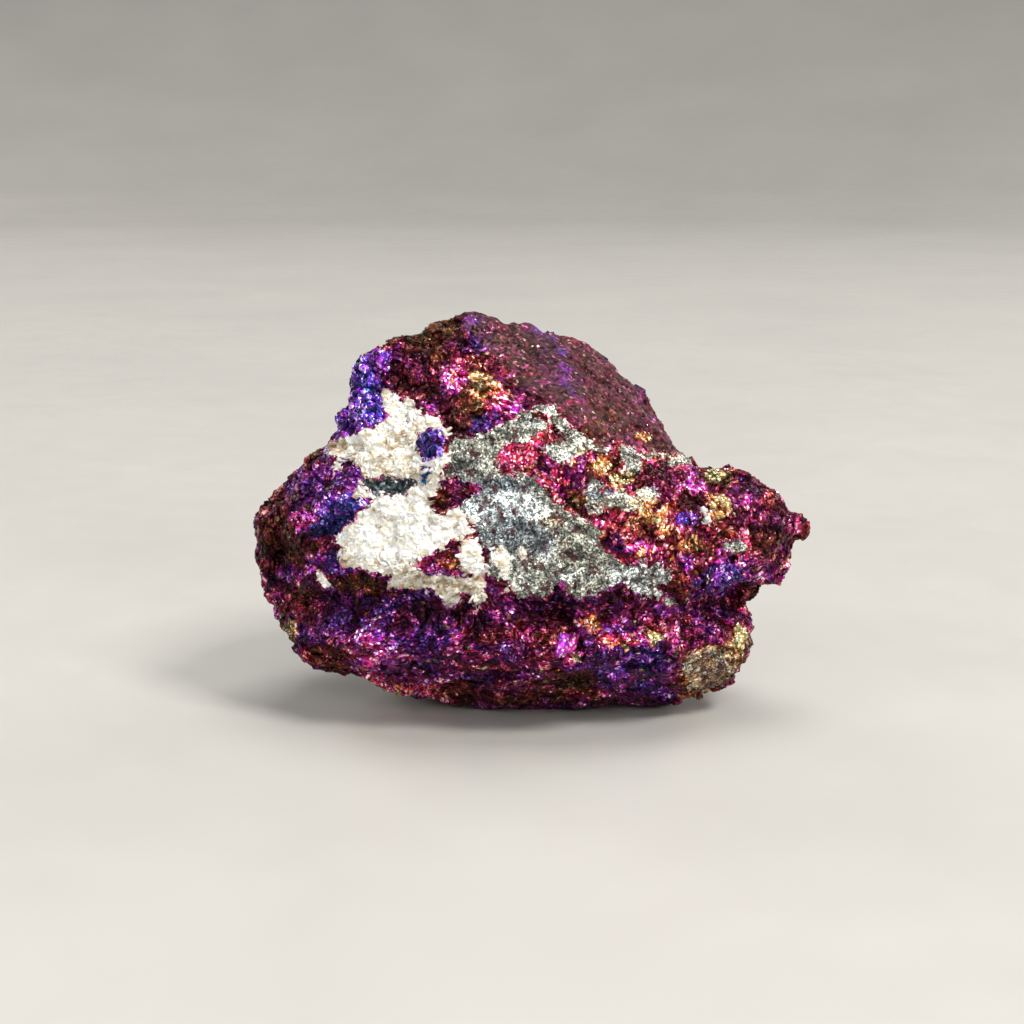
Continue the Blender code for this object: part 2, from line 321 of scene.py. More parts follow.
PATCHES = (
    Patch("left lobe", (315, 520), (75, 95), 0, Tint.PURPLE, 0.32),
    Patch("lower band", (510, 655), (260, 52), 0, Tint.PURPLE, 0.38),
    Patch("right part", (700, 530), (110, 75), 0, Tint.CRIMSON, 0.50),
    Patch("crown front", (440, 385), (75, 70), 0, Tint.CRIMSON, 0.42),
    Patch("relief field", (590, 500), (105, 75), 20, Tint.CRIMSON, 0.72),
    Patch("groove", (540, 612), (205, 15), 0, Tint.MAGENTA, 0.30),
    Patch("foliated left", (385, 592), (62, 20), 6, Tint.PURPLE, 0.26),
    Patch("hollow", (412, 374), (30, 36), 0, Tint.CRIMSON, 0.26),
    Patch("hollow rim", (400, 346), (34, 10), -20, Tint.RED, 0.24),
    Patch("crown brown", (440, 333), (28, 14), -20, Tint.ORANGE, 0.22),
    Patch("ember", (433, 352), (10, 17), 0, Tint.ORANGE, 0.45),
    Patch("boss", (452, 379), (15, 19), 15, Tint.MAGENTA, 0.85),
    Patch("boss violet", (446, 388), (8, 11), 15, Tint.PURPLE, 0.95),
    Patch("boss gold edge", (462, 362), (9, 6), 0, Tint.GOLD, 0.95),
    Patch("gold fall", (482, 380), (14, 10), 35, Tint.GOLD, 0.75),
    Patch("orange fall", (472, 394), (15, 9), 30, Tint.ORANGE, 0.6),
    Patch("brown fall", (468, 408), (16, 8), 0, Tint.ORANGE, 0.35),
    Patch("gold low fall", (496, 392), (9, 8), 40, Tint.ORANGE, 0.9),
    Patch("pink fall", (502, 408), (19, 12), -15, Tint.MAGENTA, 0.95),
    Patch("pink at crust", (434, 407), (10, 9), 0, Tint.MAGENTA, 0.8),
    Patch("indigo shade", (487, 422), (14, 7), -10, Tint.INDIGO, 0.4),
    Patch("dark below fall", (456, 428), (17, 12), 0, Tint.RED, 0.2),
    Patch("knob", (367, 395), (23, 42), 0, Tint.INDIGO, 0.85),
    Patch("knob top", (382, 359), (15, 9), -28, Tint.VIOLET, 1.0),
    Patch("knob side", (357, 385), (6, 30), 8, Tint.INDIGO, 0.3),
    Patch("knob blue", (376, 412), (14, 14), 0, Tint.BLUE, 0.95),
    Patch("teal bits", (417, 466), (20, 22), 0, Tint.TEAL, 0.4),
    Patch("knob step", (346, 428), (11, 14), 0, Tint.VIOLET, 0.55),
    Patch("slope violet", (478, 334), (12, 22), -40, Tint.VIOLET, 0.6),
    Patch("slope blue", (548, 340), (10, 26), -42, Tint.INDIGO, 0.5),
    Patch("slope pink", (646, 396), (10, 32), -32, Tint.MAGENTA, 0.7),
    Patch("slope gold", (646, 437), (9, 6), 20, Tint.GOLD, 0.95),
    Patch("slope red", (657, 449), (17, 9), 15, Tint.CRIMSON, 0.35),
    Patch("slope low pink", (668, 436), (7, 7), 0, Tint.MAGENTA, 0.8),
    Patch("slope brown", (606, 424), (30, 16), -35, Tint.ORANGE, 0.34),
    Patch("slope middle", (560, 372), (14, 34), -45, Tint.PURPLE, 0.45),
    Patch("blobs", (517, 458), (19, 14), 0, Tint.CRIMSON, 1.25),
    Patch("upper blob", (547, 435), (12, 8), 0, Tint.CRIMSON, 0.85),
    Patch("ring", (547, 457), (8, 8), 0, Tint.MAGENTA, 0.9),
    Patch("gold bit", (580, 450), (9, 6), 0, Tint.YELLOW, 0.9),
    Patch("deep field", (566, 474), (26, 15), 12, Tint.MAGENTA, 0.75),
    Patch("deep pink", (555, 480), (11, 8), 0, Tint.MAGENTA, 1.4),
    Patch("upper pink", (562, 468), (10, 6), 0, Tint.CRIMSON, 0.95),
    Patch("gap", (577, 502), (9, 14), -40, Tint.RED, 0.12),
    Patch("gold ridge", (602, 466), (10, 9), 0, Tint.GOLD, 1.0),
    Patch("brown seam", (545, 496), (8, 11), 0, Tint.ORANGE, 0.5),
    Patch("yellow bit", (620, 478), (10, 7), 0, Tint.YELLOW, 0.95),
    Patch("red bit", (627, 489), (6, 5), 0, Tint.CRIMSON, 1.0),
    Patch("dark seam", (652, 478), (14, 13), 0, Tint.RED, 0.2),
    Patch("lower field", (618, 532), (32, 26), 0, Tint.CRIMSON, 1.12),
    Patch("field violet", (612, 545), (14, 10), 0, Tint.PURPLE, 0.5),
    Patch("gold high", (652, 511), (11, 12), 0, Tint.GOLD, 1.0),
    Patch("gold low", (644, 553), (7, 5), 0, Tint.GOLD, 1.2),
    Patch("seam gold", (579, 500), (7, 17), -38, Tint.GOLD, 0.75),
    Patch("field orange", (636, 527), (9, 9), 0, Tint.ORANGE, 1.1),
    Patch("field peach", (662, 532), (9, 12), 20, Tint.ORANGE, 1.0),
    Patch("field low gold", (668, 560), (10, 5), 20, Tint.GOLD, 0.9),
    Patch("blob edge", (534, 474), (20, 4), 8, Tint.ORANGE, 0.8),
    Patch("orange rim", (610, 458), (12, 5), 25, Tint.ORANGE, 1.0),
    Patch("peach strip", (598, 535), (6, 12), -30, Tint.ORANGE, 1.0),
    Patch("gold near arch", (668, 469), (12, 4), 10, Tint.ORANGE, 0.6),
    Patch("deep right", (672, 475), (22, 15), 0, Tint.CRIMSON, 0.36),
    Patch("violet lights", (692, 486), (15, 9), -10, Tint.MAGENTA, 1.0),
    Patch("pocket", (688, 504), (15, 7), 0, Tint.RED, 0.06),
    Patch("violet blue", (688, 517), (11, 8), 0, Tint.VIOLET, 0.95),
    Patch("yellow knob", (716, 477), (15, 6), 0, Tint.YELLOW, 0.75),
    Patch("gold patch", (721, 506), (12, 13), 0, Tint.GOLD, 1.0),
    Patch("spur pink", (745, 497), (22, 15), 20, Tint.MAGENTA, 0.7),
    Patch("spur deep", (752, 522), (26, 16), 15, Tint.CRIMSON, 0.34),
    Patch("deep crimson", (704, 548), (34, 14), 0, Tint.RED, 0.42),
    Patch("gold facets", (690, 543), (11, 6), 0, Tint.GOLD, 0.85),
    Patch("violet spot", (687, 564), (7, 6), 0, Tint.PURPLE, 1.0),
    Patch("pink lines", (718, 558), (17, 6), -10, Tint.MAGENTA, 0.9),
    Patch("tip light", (794, 522), (8, 9), 0, Tint.MAGENTA, 1.0),
    Patch("tip deep", (784, 540), (11, 13), 0, Tint.MAGENTA, 0.4),
    Patch("tip rim", (801, 533), (4, 10), 0, Tint.GOLD, 0.6),
    Patch("indigo band", (722, 580), (29, 15), -12, Tint.VIOLET, 0.55),
    Patch("band violet", (749, 570), (9, 16), 0, Tint.PURPLE, 0.8),
    Patch("under spur", (768, 573), (14, 14), 0, Tint.MAGENTA, 0.6),
    Patch("left purple", (325, 486), (36, 28), 0, Tint.PURPLE, 0.55),
    Patch("left light", (325, 467), (6, 6), 0, Tint.MAGENTA, 1.0),
    Patch("left indigo", (338, 517), (28, 15), -35, Tint.INDIGO, 0.6),
    Patch("left slate", (325, 530), (18, 8), 0, Tint.BLUE, 0.22),
    Patch("left rim", (272, 525), (17, 48), 10, Tint.RED, 0.32),
    Patch("left top rim", (300, 457), (26, 9), -28, Tint.ORANGE, 0.32),
    Patch("pink stripes", (301, 518), (14, 10), 25, Tint.MAGENTA, 0.95),
    Patch("left dark", (300, 552), (40, 14), 0, Tint.RED, 0.16),
    Patch("left crimson", (297, 599), (28, 15), 10, Tint.CRIMSON, 0.45),
    Patch("left ember", (300, 592), (11, 6), 0, Tint.ORANGE, 0.45),
    Patch("left violet", (325, 562), (20, 9), 0, Tint.VIOLET, 0.6),
    Patch("left edge", (279, 599), (8, 7), 0, Tint.MAGENTA, 0.8),
    Patch("shade violet", (352, 572), (26, 6), 0, Tint.VIOLET, 0.5),
    Patch("brown folds", (366, 585), (30, 9), 8, Tint.ORANGE, 0.20),
    Patch("nook pink", (428, 566), (14, 8), 0, Tint.MAGENTA, 0.8),
    Patch("nook gold", (450, 558), (12, 10), 0, Tint.ORANGE, 0.7),
    Patch("brown bit", (442, 500), (13, 12), -20, Tint.ORANGE, 0.42),
    Patch("keel foot", (500, 692), (100, 12), 0, Tint.RED, 0.24),
    Patch("keel brown", (530, 680), (62, 10), 0, Tint.ORANGE, 0.20),
    Patch("keel dark", (480, 634), (34, 9), 0, Tint.RED, 0.20),
    Patch("keel gold specks", (545, 641), (8, 8), 0, Tint.GOLD, 0.7),
    Patch("keel gold", (549, 633), (13, 6), 0, Tint.ORANGE, 0.8),
    Patch("keel peach", (592, 626), (12, 7), 20, Tint.ORANGE, 0.9),
    Patch("keel pink", (368, 647), (42, 18), 12, Tint.MAGENTA, 1.3),
    Patch("keel violet", (425, 640), (55, 15), 5, Tint.PURPLE, 0.6),
    Patch("keel middle", (500, 662), (60, 30), 0, Tint.MAGENTA, 0.45),
    Patch("keel crimson", (520, 634), (55, 12), 0, Tint.CRIMSON, 0.42),
    Patch("pink facets", (566, 649), (12, 12), 0, Tint.MAGENTA, 1.3),
    Patch("pink streak", (621, 640), (24, 6), 5, Tint.RED, 1.7),
    Patch("green bit", (652, 636), (9, 6), 0, Tint.YELLOW, 0.5),
    Patch("keel indigo", (640, 657), (24, 13), 0, Tint.VIOLET, 0.5),
    Patch("keel grey", (610, 673), (16, 12), 0, Tint.VIOLET, 0.55),
    Patch("keel red", (667, 623), (32, 9), 0, Tint.CRIMSON, 0.40),
    Patch("keel right", (690, 640), (19, 14), 0, Tint.MAGENTA, 0.5),
    Patch("brown face", (708, 672), (36, 24), -38, Tint.ORANGE, 0.55),
    Patch("olive face", (733, 652), (12, 24), 20, Tint.GOLD, 0.4),
    Patch("yellow grains", (741, 635), (7, 13), 0, Tint.YELLOW, 1.0),
    Patch("foot lights", (400, 689), (48, 9), 12, Tint.CRIMSON, 1.4),
    Patch("lower left face", (327, 660), (26, 13), 10, Tint.RED, 0.32),
    Patch("yellow rim", (290, 630), (10, 8), 40, Tint.YELLOW, 0.45),
)

CRUST = (
    (323, 450), (331, 442), (340, 438), (352, 436), (362, 430), (374, 427), (386, 421), (389, 415),
    (384, 407), (380, 398), (381, 389), (388, 389), (396, 394), (402, 402), (407, 396), (413, 401),
    (416, 406), (420, 413), (428, 414), (435, 418), (441, 421), (445, 430), (447, 438), (442, 446),
    (446, 452), (452, 452), (447, 462), (442, 470), (439, 480), (437, 492), (432, 499), (431, 506),
    (437, 514), (444, 515), (450, 508), (458, 506), (463, 515), (470, 526), (475, 532), (466, 536),
    (456, 538), (448, 543), (443, 549), (436, 549), (430, 556), (420, 557), (410, 563), (418, 571),
    (428, 576), (437, 574), (446, 577), (457, 578), (470, 577), (482, 575), (486, 581), (484, 592),
    (484, 601), (478, 608), (473, 600), (466, 593), (458, 591), (461, 600), (452, 607), (445, 606),
    (440, 597), (434, 590), (426, 587), (417, 590), (407, 588), (398, 590), (388, 589), (391, 580),
    (394, 572), (387, 576), (378, 571), (370, 572), (362, 569), (350, 567), (341, 565), (340, 558),
    (344, 552), (340, 546), (334, 541), (333, 536), (340, 533), (346, 527), (356, 519), (360, 510),
    (368, 507), (374, 500), (365, 498), (352, 498), (355, 489), (358, 481), (364, 476), (360, 469),
    (354, 461), (346, 459), (338, 457), (330, 455),
)  # fmt: skip
CRUST_ISLANDS = (
    ((463, 540), (472, 538), (480, 544), (485, 552), (484, 562), (486, 570), (478, 576), (468, 572),
     (461, 569), (459, 558), (460, 548)),
    ((500, 545), (508, 548), (510, 558), (511, 570), (506, 578), (500, 577), (498, 568), (492, 562),
     (490, 553), (496, 549)),
    ((518, 552), (522, 546), (528, 552), (526, 560), (519, 557)),
    ((314, 568), (319, 570), (324, 578), (330, 586), (326, 589), (320, 582), (315, 575)),
    ((336, 461), (342, 464), (340, 471), (333, 471)),
    ((509, 585), (516, 583), (520, 590), (512, 593)),
    ((702, 510), (707, 513), (711, 522), (709, 528), (704, 521)),
)  # fmt: skip
CRUST_GAPS = (
    ((361, 480), (367, 477), (378, 480), (383, 476), (391, 477), (397, 479), (402, 481), (408, 476),
     (414, 479), (418, 482), (414, 487), (406, 490), (408, 495), (402, 497), (397, 494), (391, 497),
     (384, 494), (376, 496), (370, 492), (364, 488)),
    ((418, 432), (430, 430), (438, 430), (444, 437), (442, 446), (444, 453), (436, 458), (428, 462),
     (421, 457), (416, 448), (418, 440)),
    ((420, 471), (425, 467), (432, 469), (431, 478), (426, 485), (421, 483)),
    ((407, 421), (413, 419), (412, 426)),
    ((400, 446), (406, 447), (411, 442), (413, 448), (405, 451)),
)  # fmt: skip
PLATE = (
    (447, 456), (447, 445), (455, 438), (470, 438), (480, 436), (488, 432), (496, 428), (505, 424),
    (513, 420), (521, 416), (531, 415), (541, 418), (550, 424), (546, 430), (538, 436), (530, 440),
    (520, 443), (508, 445), (499, 448), (498, 456), (501, 466), (503, 473), (512, 478), (526, 474),
    (540, 472), (543, 482), (547, 492), (553, 500), (561, 506), (571, 513), (582, 520), (592, 524),
    (600, 529), (604, 540), (607, 552), (616, 560), (628, 563), (637, 560), (650, 563), (663, 567),
    (673, 572), (672, 579), (664, 581), (660, 589), (666, 594), (673, 598), (670, 605), (660, 603),
    (652, 598), (642, 599), (634, 593), (628, 586), (619, 582), (610, 587), (600, 593), (590, 597),
    (576, 599), (566, 592), (560, 584), (552, 590), (542, 595), (530, 591), (520, 596), (511, 590),
    (505, 583), (497, 582), (490, 578), (487, 569), (488, 556), (484, 545), (478, 537), (476, 528),
    (470, 520), (463, 512), (460, 505), (470, 498), (479, 497), (485, 492), (475, 487), (462, 484),
    (452, 479), (444, 478), (447, 468), (451, 461),
)  # fmt: skip
PLATE_ISLANDS = (
    ((538, 406), (551, 409), (563, 417), (576, 427), (586, 436), (598, 442), (609, 451), (604, 456),
     (590, 448), (576, 441), (562, 433), (552, 424), (544, 415)),
    ((545, 447), (560, 442), (572, 440), (580, 443), (574, 452), (575, 460), (564, 462), (554, 458)),
    ((618, 447), (630, 444), (640, 451), (655, 449), (668, 453), (681, 456), (687, 463), (670, 461),
     (655, 458), (643, 460), (645, 470), (640, 480), (632, 477), (625, 467), (619, 457)),
    ((587, 483), (592, 478), (600, 484), (607, 488), (613, 492), (623, 497), (636, 492), (648, 485),
     (656, 492), (652, 501), (642, 506), (630, 509), (618, 506), (606, 508), (596, 511), (588, 506),
     (583, 498), (584, 489)),
    ((720, 541), (732, 543), (744, 541), (747, 546), (738, 551), (727, 549)),
    ((684, 668), (700, 655), (716, 650), (730, 655), (732, 668), (722, 682), (706, 692), (690, 688)),
)  # fmt: skip
SLOPE = (
    (452, 313), (460, 305), (485, 308), (503, 318), (527, 312), (560, 325), (584, 326), (615, 350),
    (642, 378), (666, 420), (698, 460), (690, 466), (680, 455), (668, 450), (655, 446), (640, 448),
    (622, 443), (608, 448), (594, 440), (580, 428), (563, 414), (546, 402), (530, 396), (517, 390),
    (507, 379), (498, 366), (490, 353), (478, 343), (468, 333), (458, 324),
)  # fmt: skip
KNOB = (
    (353, 366), (368, 357), (384, 349), (396, 352), (388, 366), (384, 384), (383, 398), (388, 410),
    (385, 421), (372, 427), (358, 434), (338, 442), (336, 420), (350, 408), (352, 390),
)  # fmt: skip
BLUE_SPOT = CRUST_GAPS[1]
SLATE_STREAK = CRUST_GAPS[0]
TEAL_BITS = CRUST_GAPS[2:]


class Shade(NamedTuple):
    """An oval patch inside the grey plate or the pale crust.

    Attributes:
        name: what it is.
        at: where its middle is seen.
        reach: its half width and half height.
        turn: how far it is turned, in degrees, clockwise.
        hue: where its colour lies between the mineral's two own colours.
        shine: its brightness, 1 for the brightest.
    """

    name: str
    at: tuple[float, float]
    reach: tuple[float, float]
    turn: float
    hue: float
    shine: float


PLATE_SHADES = (
    Shade("upper plate", (480, 452), (35, 25), 0, 0.32, 0.52),
    Shade("upper right", (525, 428), (28, 12), -10, 0.35, 0.55),
    Shade("dark left", (462, 462), (16, 18), 0, 0.4, 0.30),
    Shade("blue band", (492, 487), (34, 9), 0, 0.9, 0.30),
    Shade("white specks", (500, 511), (50, 18), 0, 0.7, 1.05),
    Shade("teal middle", (520, 538), (40, 18), 12, 0.85, 0.30),
    Shade("right middle", (580, 560), (30, 26), 0, 0.3, 0.60),
    Shade("lower right", (640, 582), (32, 16), 8, 0.6, 0.80),
    Shade("lower middle", (545, 575), (35, 12), 0, 0.4, 0.62),
    Shade("crescent", (620, 498), (36, 14), 0, 0.2, 0.72),
    Shade("crescent dark", (598, 494), (14, 6), -15, 0.8, 0.30),
    Shade("brown face", (706, 672), (34, 24), -38, -0.15, 0.42),
    Shade("arch", (664, 456), (26, 7), 10, 0.2, 0.8),
    Shade("streaks", (572, 428), (35, 12), 42, 0.3, 0.85),
)
CRUST_SHADES = (
    Shade("upper tan", (392, 438), (14, 14), 0, 0.50, 0.92),
    Shade("left tip", (334, 448), (14, 8), -10, 0.8, 0.85),
    Shade("ridges", (372, 455), (16, 14), 0, 0.38, 1.0),
    Shade("upper low", (398, 466), (20, 9), 0, 0.42, 0.98),
    Shade("knob of crust", (385, 396), (9, 10), 0, 0.62, 0.76),
    Shade("upper white", (405, 413), (26, 15), 0, 0.34, 0.84),
    Shade("lower white", (390, 530), (46, 34), 0, 0.18, 1.0),
    Shade("lower tan", (345, 562), (16, 7), 0, 0.5, 0.85),
    Shade("right white", (440, 525), (24, 20), 0, 0.14, 0.96),
    Shade("lowest strip", (445, 585), (38, 12), 0, 0.55, 0.8),
    Shade("teeth", (452, 600), (12, 8), 0, 0.5, 0.85),
    Shade("island", (472, 556), (12, 14), 0, 0.3, 0.95),
)


class Surface(NamedTuple):
    """A mesh as arrays.

    Attributes:
        points: its vertices, in millimetres.
        normals: their outward directions.
        triangles: the three vertices of each triangle.
    """

    points: np.ndarray
    normals: np.ndarray
    triangles: np.ndarray


class Marks(NamedTuple):
    """What the stone is at some points.

    Attributes:
        tint: thickness of the tarnish film, or the hue of plate or crust.
        shine: brightness, with painted highlight and painted shade in it.
        crust: how deep inside the pale crust, in millimetres, negative outside.
        plate: how deep inside the grey plate, in millimetres, negative outside.
        dull: share of the dull mauve slope.
        knob: share of the rounded blue grains.
        slate: share of the dark streak in the crust.
    """

    tint: np.ndarray
    shine: np.ndarray
    crust: np.ndarray
    plate: np.ndarray
    dull: np.ndarray
    knob: np.ndarray
    slate: np.ndarray


def depth_inside(seen: np.ndarray, outline: tuple[tuple[float, float], ...]) -> np.ndarray:
    """Measures how far inside an outline places lie.

    Args:
        seen: places in the front view.
        outline: the outline's corners in that view.

    Returns:
        Millimetres inside, negative outside.
    """
    corners = np.array(outline, float)
    close = ((seen > corners.min(axis=0) - FAR) & (seen < corners.max(axis=0) + FAR)).all(axis=1)
    depth = np.full(len(seen), -FAR * PIXEL)
    seen = seen[close]
    nearest = np.full(len(seen), float(FAR**2))
    inside = np.zeros(len(seen), bool)
    for start, end in zip(corners, np.roll(corners, -1, axis=0)):
        along = end - start
        away = seen - start
        share = np.clip(away @ along / (along @ along), 0, 1)
        gap = away - share[:, None] * along
        nearest = np.minimum(nearest, (gap**2).sum(axis=1))
        if start[1] != end[1]:
            between = (start[1] > seen[:, 1]) != (end[1] > seen[:, 1])
            crossing = start[0] + (seen[:, 1] - start[1]) / along[1] * along[0]
            inside ^= between & (seen[:, 0] < crossing)
    depth[close] = np.sqrt(nearest) * np.where(inside, PIXEL, -PIXEL)
    return depth


def oval_share(seen: np.ndarray, patch: Patch | Shade, ragged: np.ndarray) -> np.ndarray:
    """Tells how much of an oval patch covers each place.

    Args:
        seen: places in the front view.
        patch: the patch.
        ragged: what makes its edge uneven, about -1 to 1.

    Returns:
        Shares from 0 to 1.
    """
    turn = math.radians(patch.turn)
    away = seen - np.array(patch.at)
    close = (np.abs(away) < 1.7 * max(patch.reach)).all(axis=1)
    away = away[close]
    across = away[:, 0] * math.cos(turn) + away[:, 1] * math.sin(turn)
    down = away[:, 1] * math.cos(turn) - away[:, 0] * math.sin(turn)
    reach = np.hypot(across / patch.reach[0], down / patch.reach[1])
    share = np.zeros(len(seen))
    share[close] = rise(-reach + ragged[close] * 0.35, -1.25, -0.75)
    return share


def sheaf_frames(points: np.ndarray) -> np.ndarray:
    """Gives the directions in which the grain of the broken ore runs, which change from sheaf to sheaf.

    Args:
        points: places in millimetres.

    Returns:
        Three rows for each point: along the grain and the two ways across it.
    """
    low, high = rise(-points[:, 2], -17.0, -9.0), rise(points[:, 2], 29.0, 36.0)
    along = cells_at(points, SHEAF, SHEAF_KEY).random - 0.5
    along += np.outer(low, (0.8, 0.2, -0.05)) + np.outer(high, (0.5, 0.0, -0.5))
    along /= np.linalg.norm(along, axis=1, keepdims=True)
    across = np.cross(along, (0.31, -0.52, 0.79))
    across /= np.linalg.norm(across, axis=1, keepdims=True)
    return np.stack((along, across, np.cross(along, across)), axis=1)


def ridge_space(points: np.ndarray) -> np.ndarray:
    """Shortens space along the grain, so that round patterns come out as long ridges."""
    local = np.einsum("nij,nj->ni", sheaf_frames(points), points)
    return local / np.array((RIDGE_LENGTH, 1.0, 1.0))


def lump_space(points: np.ndarray) -> np.ndarray:
    """Flattens space towards the keel, where the lumps lie in bands.

    Args:
        points: places in millimetres.

    Returns:
        The places in which the lumps are round.
    """
    low = rise(-points[:, 2], -15.0, -9.0)
    shape = np.stack((1 - 0.3 * low, 1 - 0.3 * low, 1 + 0.35 * low), axis=1)
    return points * shape


class Broken(NamedTuple):
    """The broken cells of three kinds that some points lie in: lumps, facets and long ridges."""

    lump: Cells
    facet: Cells
    ridge: Cells


@dataclass(frozen=True)
class StoneMap:
    """Knows which mineral and which tarnish lies at each place of the stone.

    Attributes:
        film: the tarnish on the front where no patch is placed.
        glow: its brightness there.
        facet_pull: how far a patch's colour is carried over the facet that it touches.
        ridge_jump: how far ridges carry it out of its oval, in millimetres.
        lump_tint: how much the film differs from lump to lump.
        hidden: how far the front's outlines recede where the stone turns away, in millimetres.
        crust_cut: how far the crust's outline recedes on the ledge behind it, in millimetres.
        crust_back: how far back the crust starts and ends to recede, in millimetres.
        seam_dim: how much painted shade darkens the ore in the gap between crust and plate.
        knob_dim: how much painted shade darkens the ore between the knob's beads.
        worn_share: how dull the worn faces behind are.
    """

    film: float = 0.44
    glow: float = 0.42
    facet_pull: float = 0.7
    ridge_jump: float = 0.8
    lump_tint: float = 0.18
    hidden: float = 9.0
    crust_cut: float = 5.0
    crust_back: tuple[float, float] = (-6.0, -3.0)
    seam_dim: float = 0.6
    knob_dim: float = 0.55
    worn_share: float = 0.8

    def front_share(self, normals: np.ndarray) -> np.ndarray:
        """Tells how well each place can be seen from the front, from 0, behind, to 1, in front."""
        return rise(normals @ VIEW.back, -0.25, 0.05)

    def behind(self, points: np.ndarray) -> tuple[np.ndarray, np.ndarray]:
        """Gives the tarnish where no patch is placed.

        Args:
            points: places in millimetres.

        Returns:
            The film's thickness and the brightness.
        """
        broad = clouds(points, 15.0, 11)
        small = clouds(points, 4.5, 21)
        tint = 0.52 + 0.36 * broad + 0.22 * small
        gold = rise(clouds(points, 7.0, 31), 0.40, 0.62)
        tint = tint * (1 - gold) + 0.14 * gold
        shine = 0.38 + 0.50 * clouds(points, 6.0, 41) + 0.25 * gold
        return np.clip(tint, 0.0, 0.84), np.clip(shine, 0.10, 0.9)

    def tarnish(self, points: np.ndarray, front: np.ndarray, broken: Broken) -> tuple[np.ndarray, np.ndarray]:
        """Reads the tarnish, patch over patch, broken up by lumps, facets and ridges, with painted flashes on
        them and painted shade in the creases between lumps.

        Args:
            points: places in millimetres.
            front: how well they can be seen.
            broken: the cells they lie in.

        Returns:
            The film's thickness and the brightness.
        """
        lump, facet, ridge = broken
        home = points - facet.offset * FACET * self.facet_pull + (ridge.random - 0.5) * self.ridge_jump
        tint, shine = self.behind(home)
        there = VIEW.seen(home)
        film = np.full(len(points), self.film) + 0.1 * clouds(home, 5.0, 71)
        glow = np.full(len(points), self.glow)
        uneven = clouds(home, 2.4, 56)
        cover = np.zeros(len(points))
        for patch in PATCHES:
            share = oval_share(there, patch, uneven)
            film += (patch.tint.value - film) * share
            glow += (patch.shine - glow) * share
            if max(patch.reach) < WIDE:
                cover = np.maximum(cover, share * front)
        film += 0.10 * clouds(home, 2.2, 81) + 0.10 * (ridge.random[:, 0] - 0.5)
        glow = glow**1.15 * (1 + 0.35 * clouds(points, 1.4, 91))
        tint += (film - tint) * front
        shine += (glow - shine) * front
        tint += self.lump_tint * (lump.random[:, 0] - 0.5) * (1 - 0.6 * cover)
        # Painted flashes and shade: facets, ridges and lumps are brightened at random as if they caught the
        # light, and the creases between lumps are darkened.
        painted_flash = (0.40 + 1.5 * facet.random[:, 1] ** 2) * (0.5 + 1.2 * ridge.random[:, 1] ** 2)
        crease = 0.45 + 0.55 * rise(lump.border, 0.02, 0.16)
        return tint, shine * painted_flash * crease * (0.55 + 0.9 * lump.random[:, 1] ** 1.5)

    def minerals(
        self, points: np.ndarray, seen: np.ndarray, front: np.ndarray, jagged: np.ndarray, ridge: Cells
    ) -> tuple[np.ndarray, np.ndarray]:
        """Measures how deep inside the crust and the plate places lie.

        Args:
            points: places in millimetres.
            seen: where they are seen.
            front: how well they can be seen.
            jagged: what makes the outlines uneven.
            ridge: the ridges they lie in.

        Returns:
            Millimetres inside the crust and the plate, negative outside.
        """
        hidden = self.hidden * (1 - front)
        crust = depth_inside(seen, CRUST)
        for gap in CRUST_GAPS:
            crust = np.minimum(crust, -depth_inside(seen, gap))
        for island in CRUST_ISLANDS:
            crust = np.maximum(crust, depth_inside(seen, island))
        plate = depth_inside(seen, PLATE)
        for island in PLATE_ISLANDS:
            plate = np.maximum(plate, depth_inside(seen, island))
        crust = crust + jagged - hidden - self.crust_cut * rise(points[:, 1], *self.crust_back)
        mixed = 0.75 * clouds(points, 2.0, 57) + 0.6 * (ridge.random[:, 2] - 0.5)
        seam = clouds(points, 13.0, 101) * 4 - 2.6
        return crust, np.maximum(plate + jagged + mixed - hidden, seam - self.hidden * front)

    def read(self, points: np.ndarray, normals: np.ndarray) -> Marks:
        """Reads the map at places on the stone.

        Args:
            points: places in millimetres.
            normals: outward directions there.

        Returns:
            What the stone is there.
        """
        seen = VIEW.seen(points)
        front = self.front_share(normals)
        ragged = clouds(points, 1.6, 51)
        broken = Broken(
            cells_at(lump_space(points), LUMP, LUMP_KEY),
            cells_at(points, FACET, FACET_KEY),
            cells_at(ridge_space(points), RIDGE, RIDGE_KEY),
        )
        tint, shine = self.tarnish(points, front, broken)
        ridge = broken.ridge
        jagged = 0.22 * ragged + 0.10 * smooth_noise(points, 0.55, 61) + 0.42 * (ridge.random[:, 2] - 0.5)
        crust, plate = self.minerals(points, seen, front, jagged, ridge)
        # Painted shade: the ore darkens in the gap between crust and plate.
        shine *= 1 - self.seam_dim * rise(np.minimum(crust, plate), -1.0, -0.3)
        slope = rise(depth_inside(seen, SLOPE) + 0.9 * clouds(points, 3.2, 58), -0.5, 0.9) * front
        worn = rise(clouds(points, 17.0, 111), 0.15, 0.4) * (1 - front) * self.worn_share
        knob = rise(depth_inside(seen, KNOB) + 0.3 * ragged, -0.2, 0.3) * front
        # Painted shade: the ore darkens under and between the knob's beads.
        shine *= 1 - self.knob_dim * knob
        spot = rise(depth_inside(seen, BLUE_SPOT) + 0.1 * ragged, -0.2, 0.2) * front
        slate = rise(depth_inside(seen, SLATE_STREAK) + 0.1 * ragged, -0.2, 0.2) * front
        tint += (Tint.BLUE.value - tint) * spot
        shine += (0.8 - shine) * spot
        for bit in TEAL_BITS:
            share = rise(depth_inside(seen, bit), -0.4, -0.1) * front
            tint += (1.1 - tint) * share
            shine += (0.9 - shine) * share
        tint, shine = self.dress(points, seen, front, Marks(tint, shine, crust, plate, slope, knob, slate))
        return Marks(
            np.clip(tint, 0.0, 1.1),
            np.clip(shine, 0.03, 2.2),
            np.clip(crust, -1.5, 1.5),
            np.clip(plate, -1.5, 1.5),
            np.maximum(slope, worn),
            np.maximum(knob, spot),
            slate,
        )

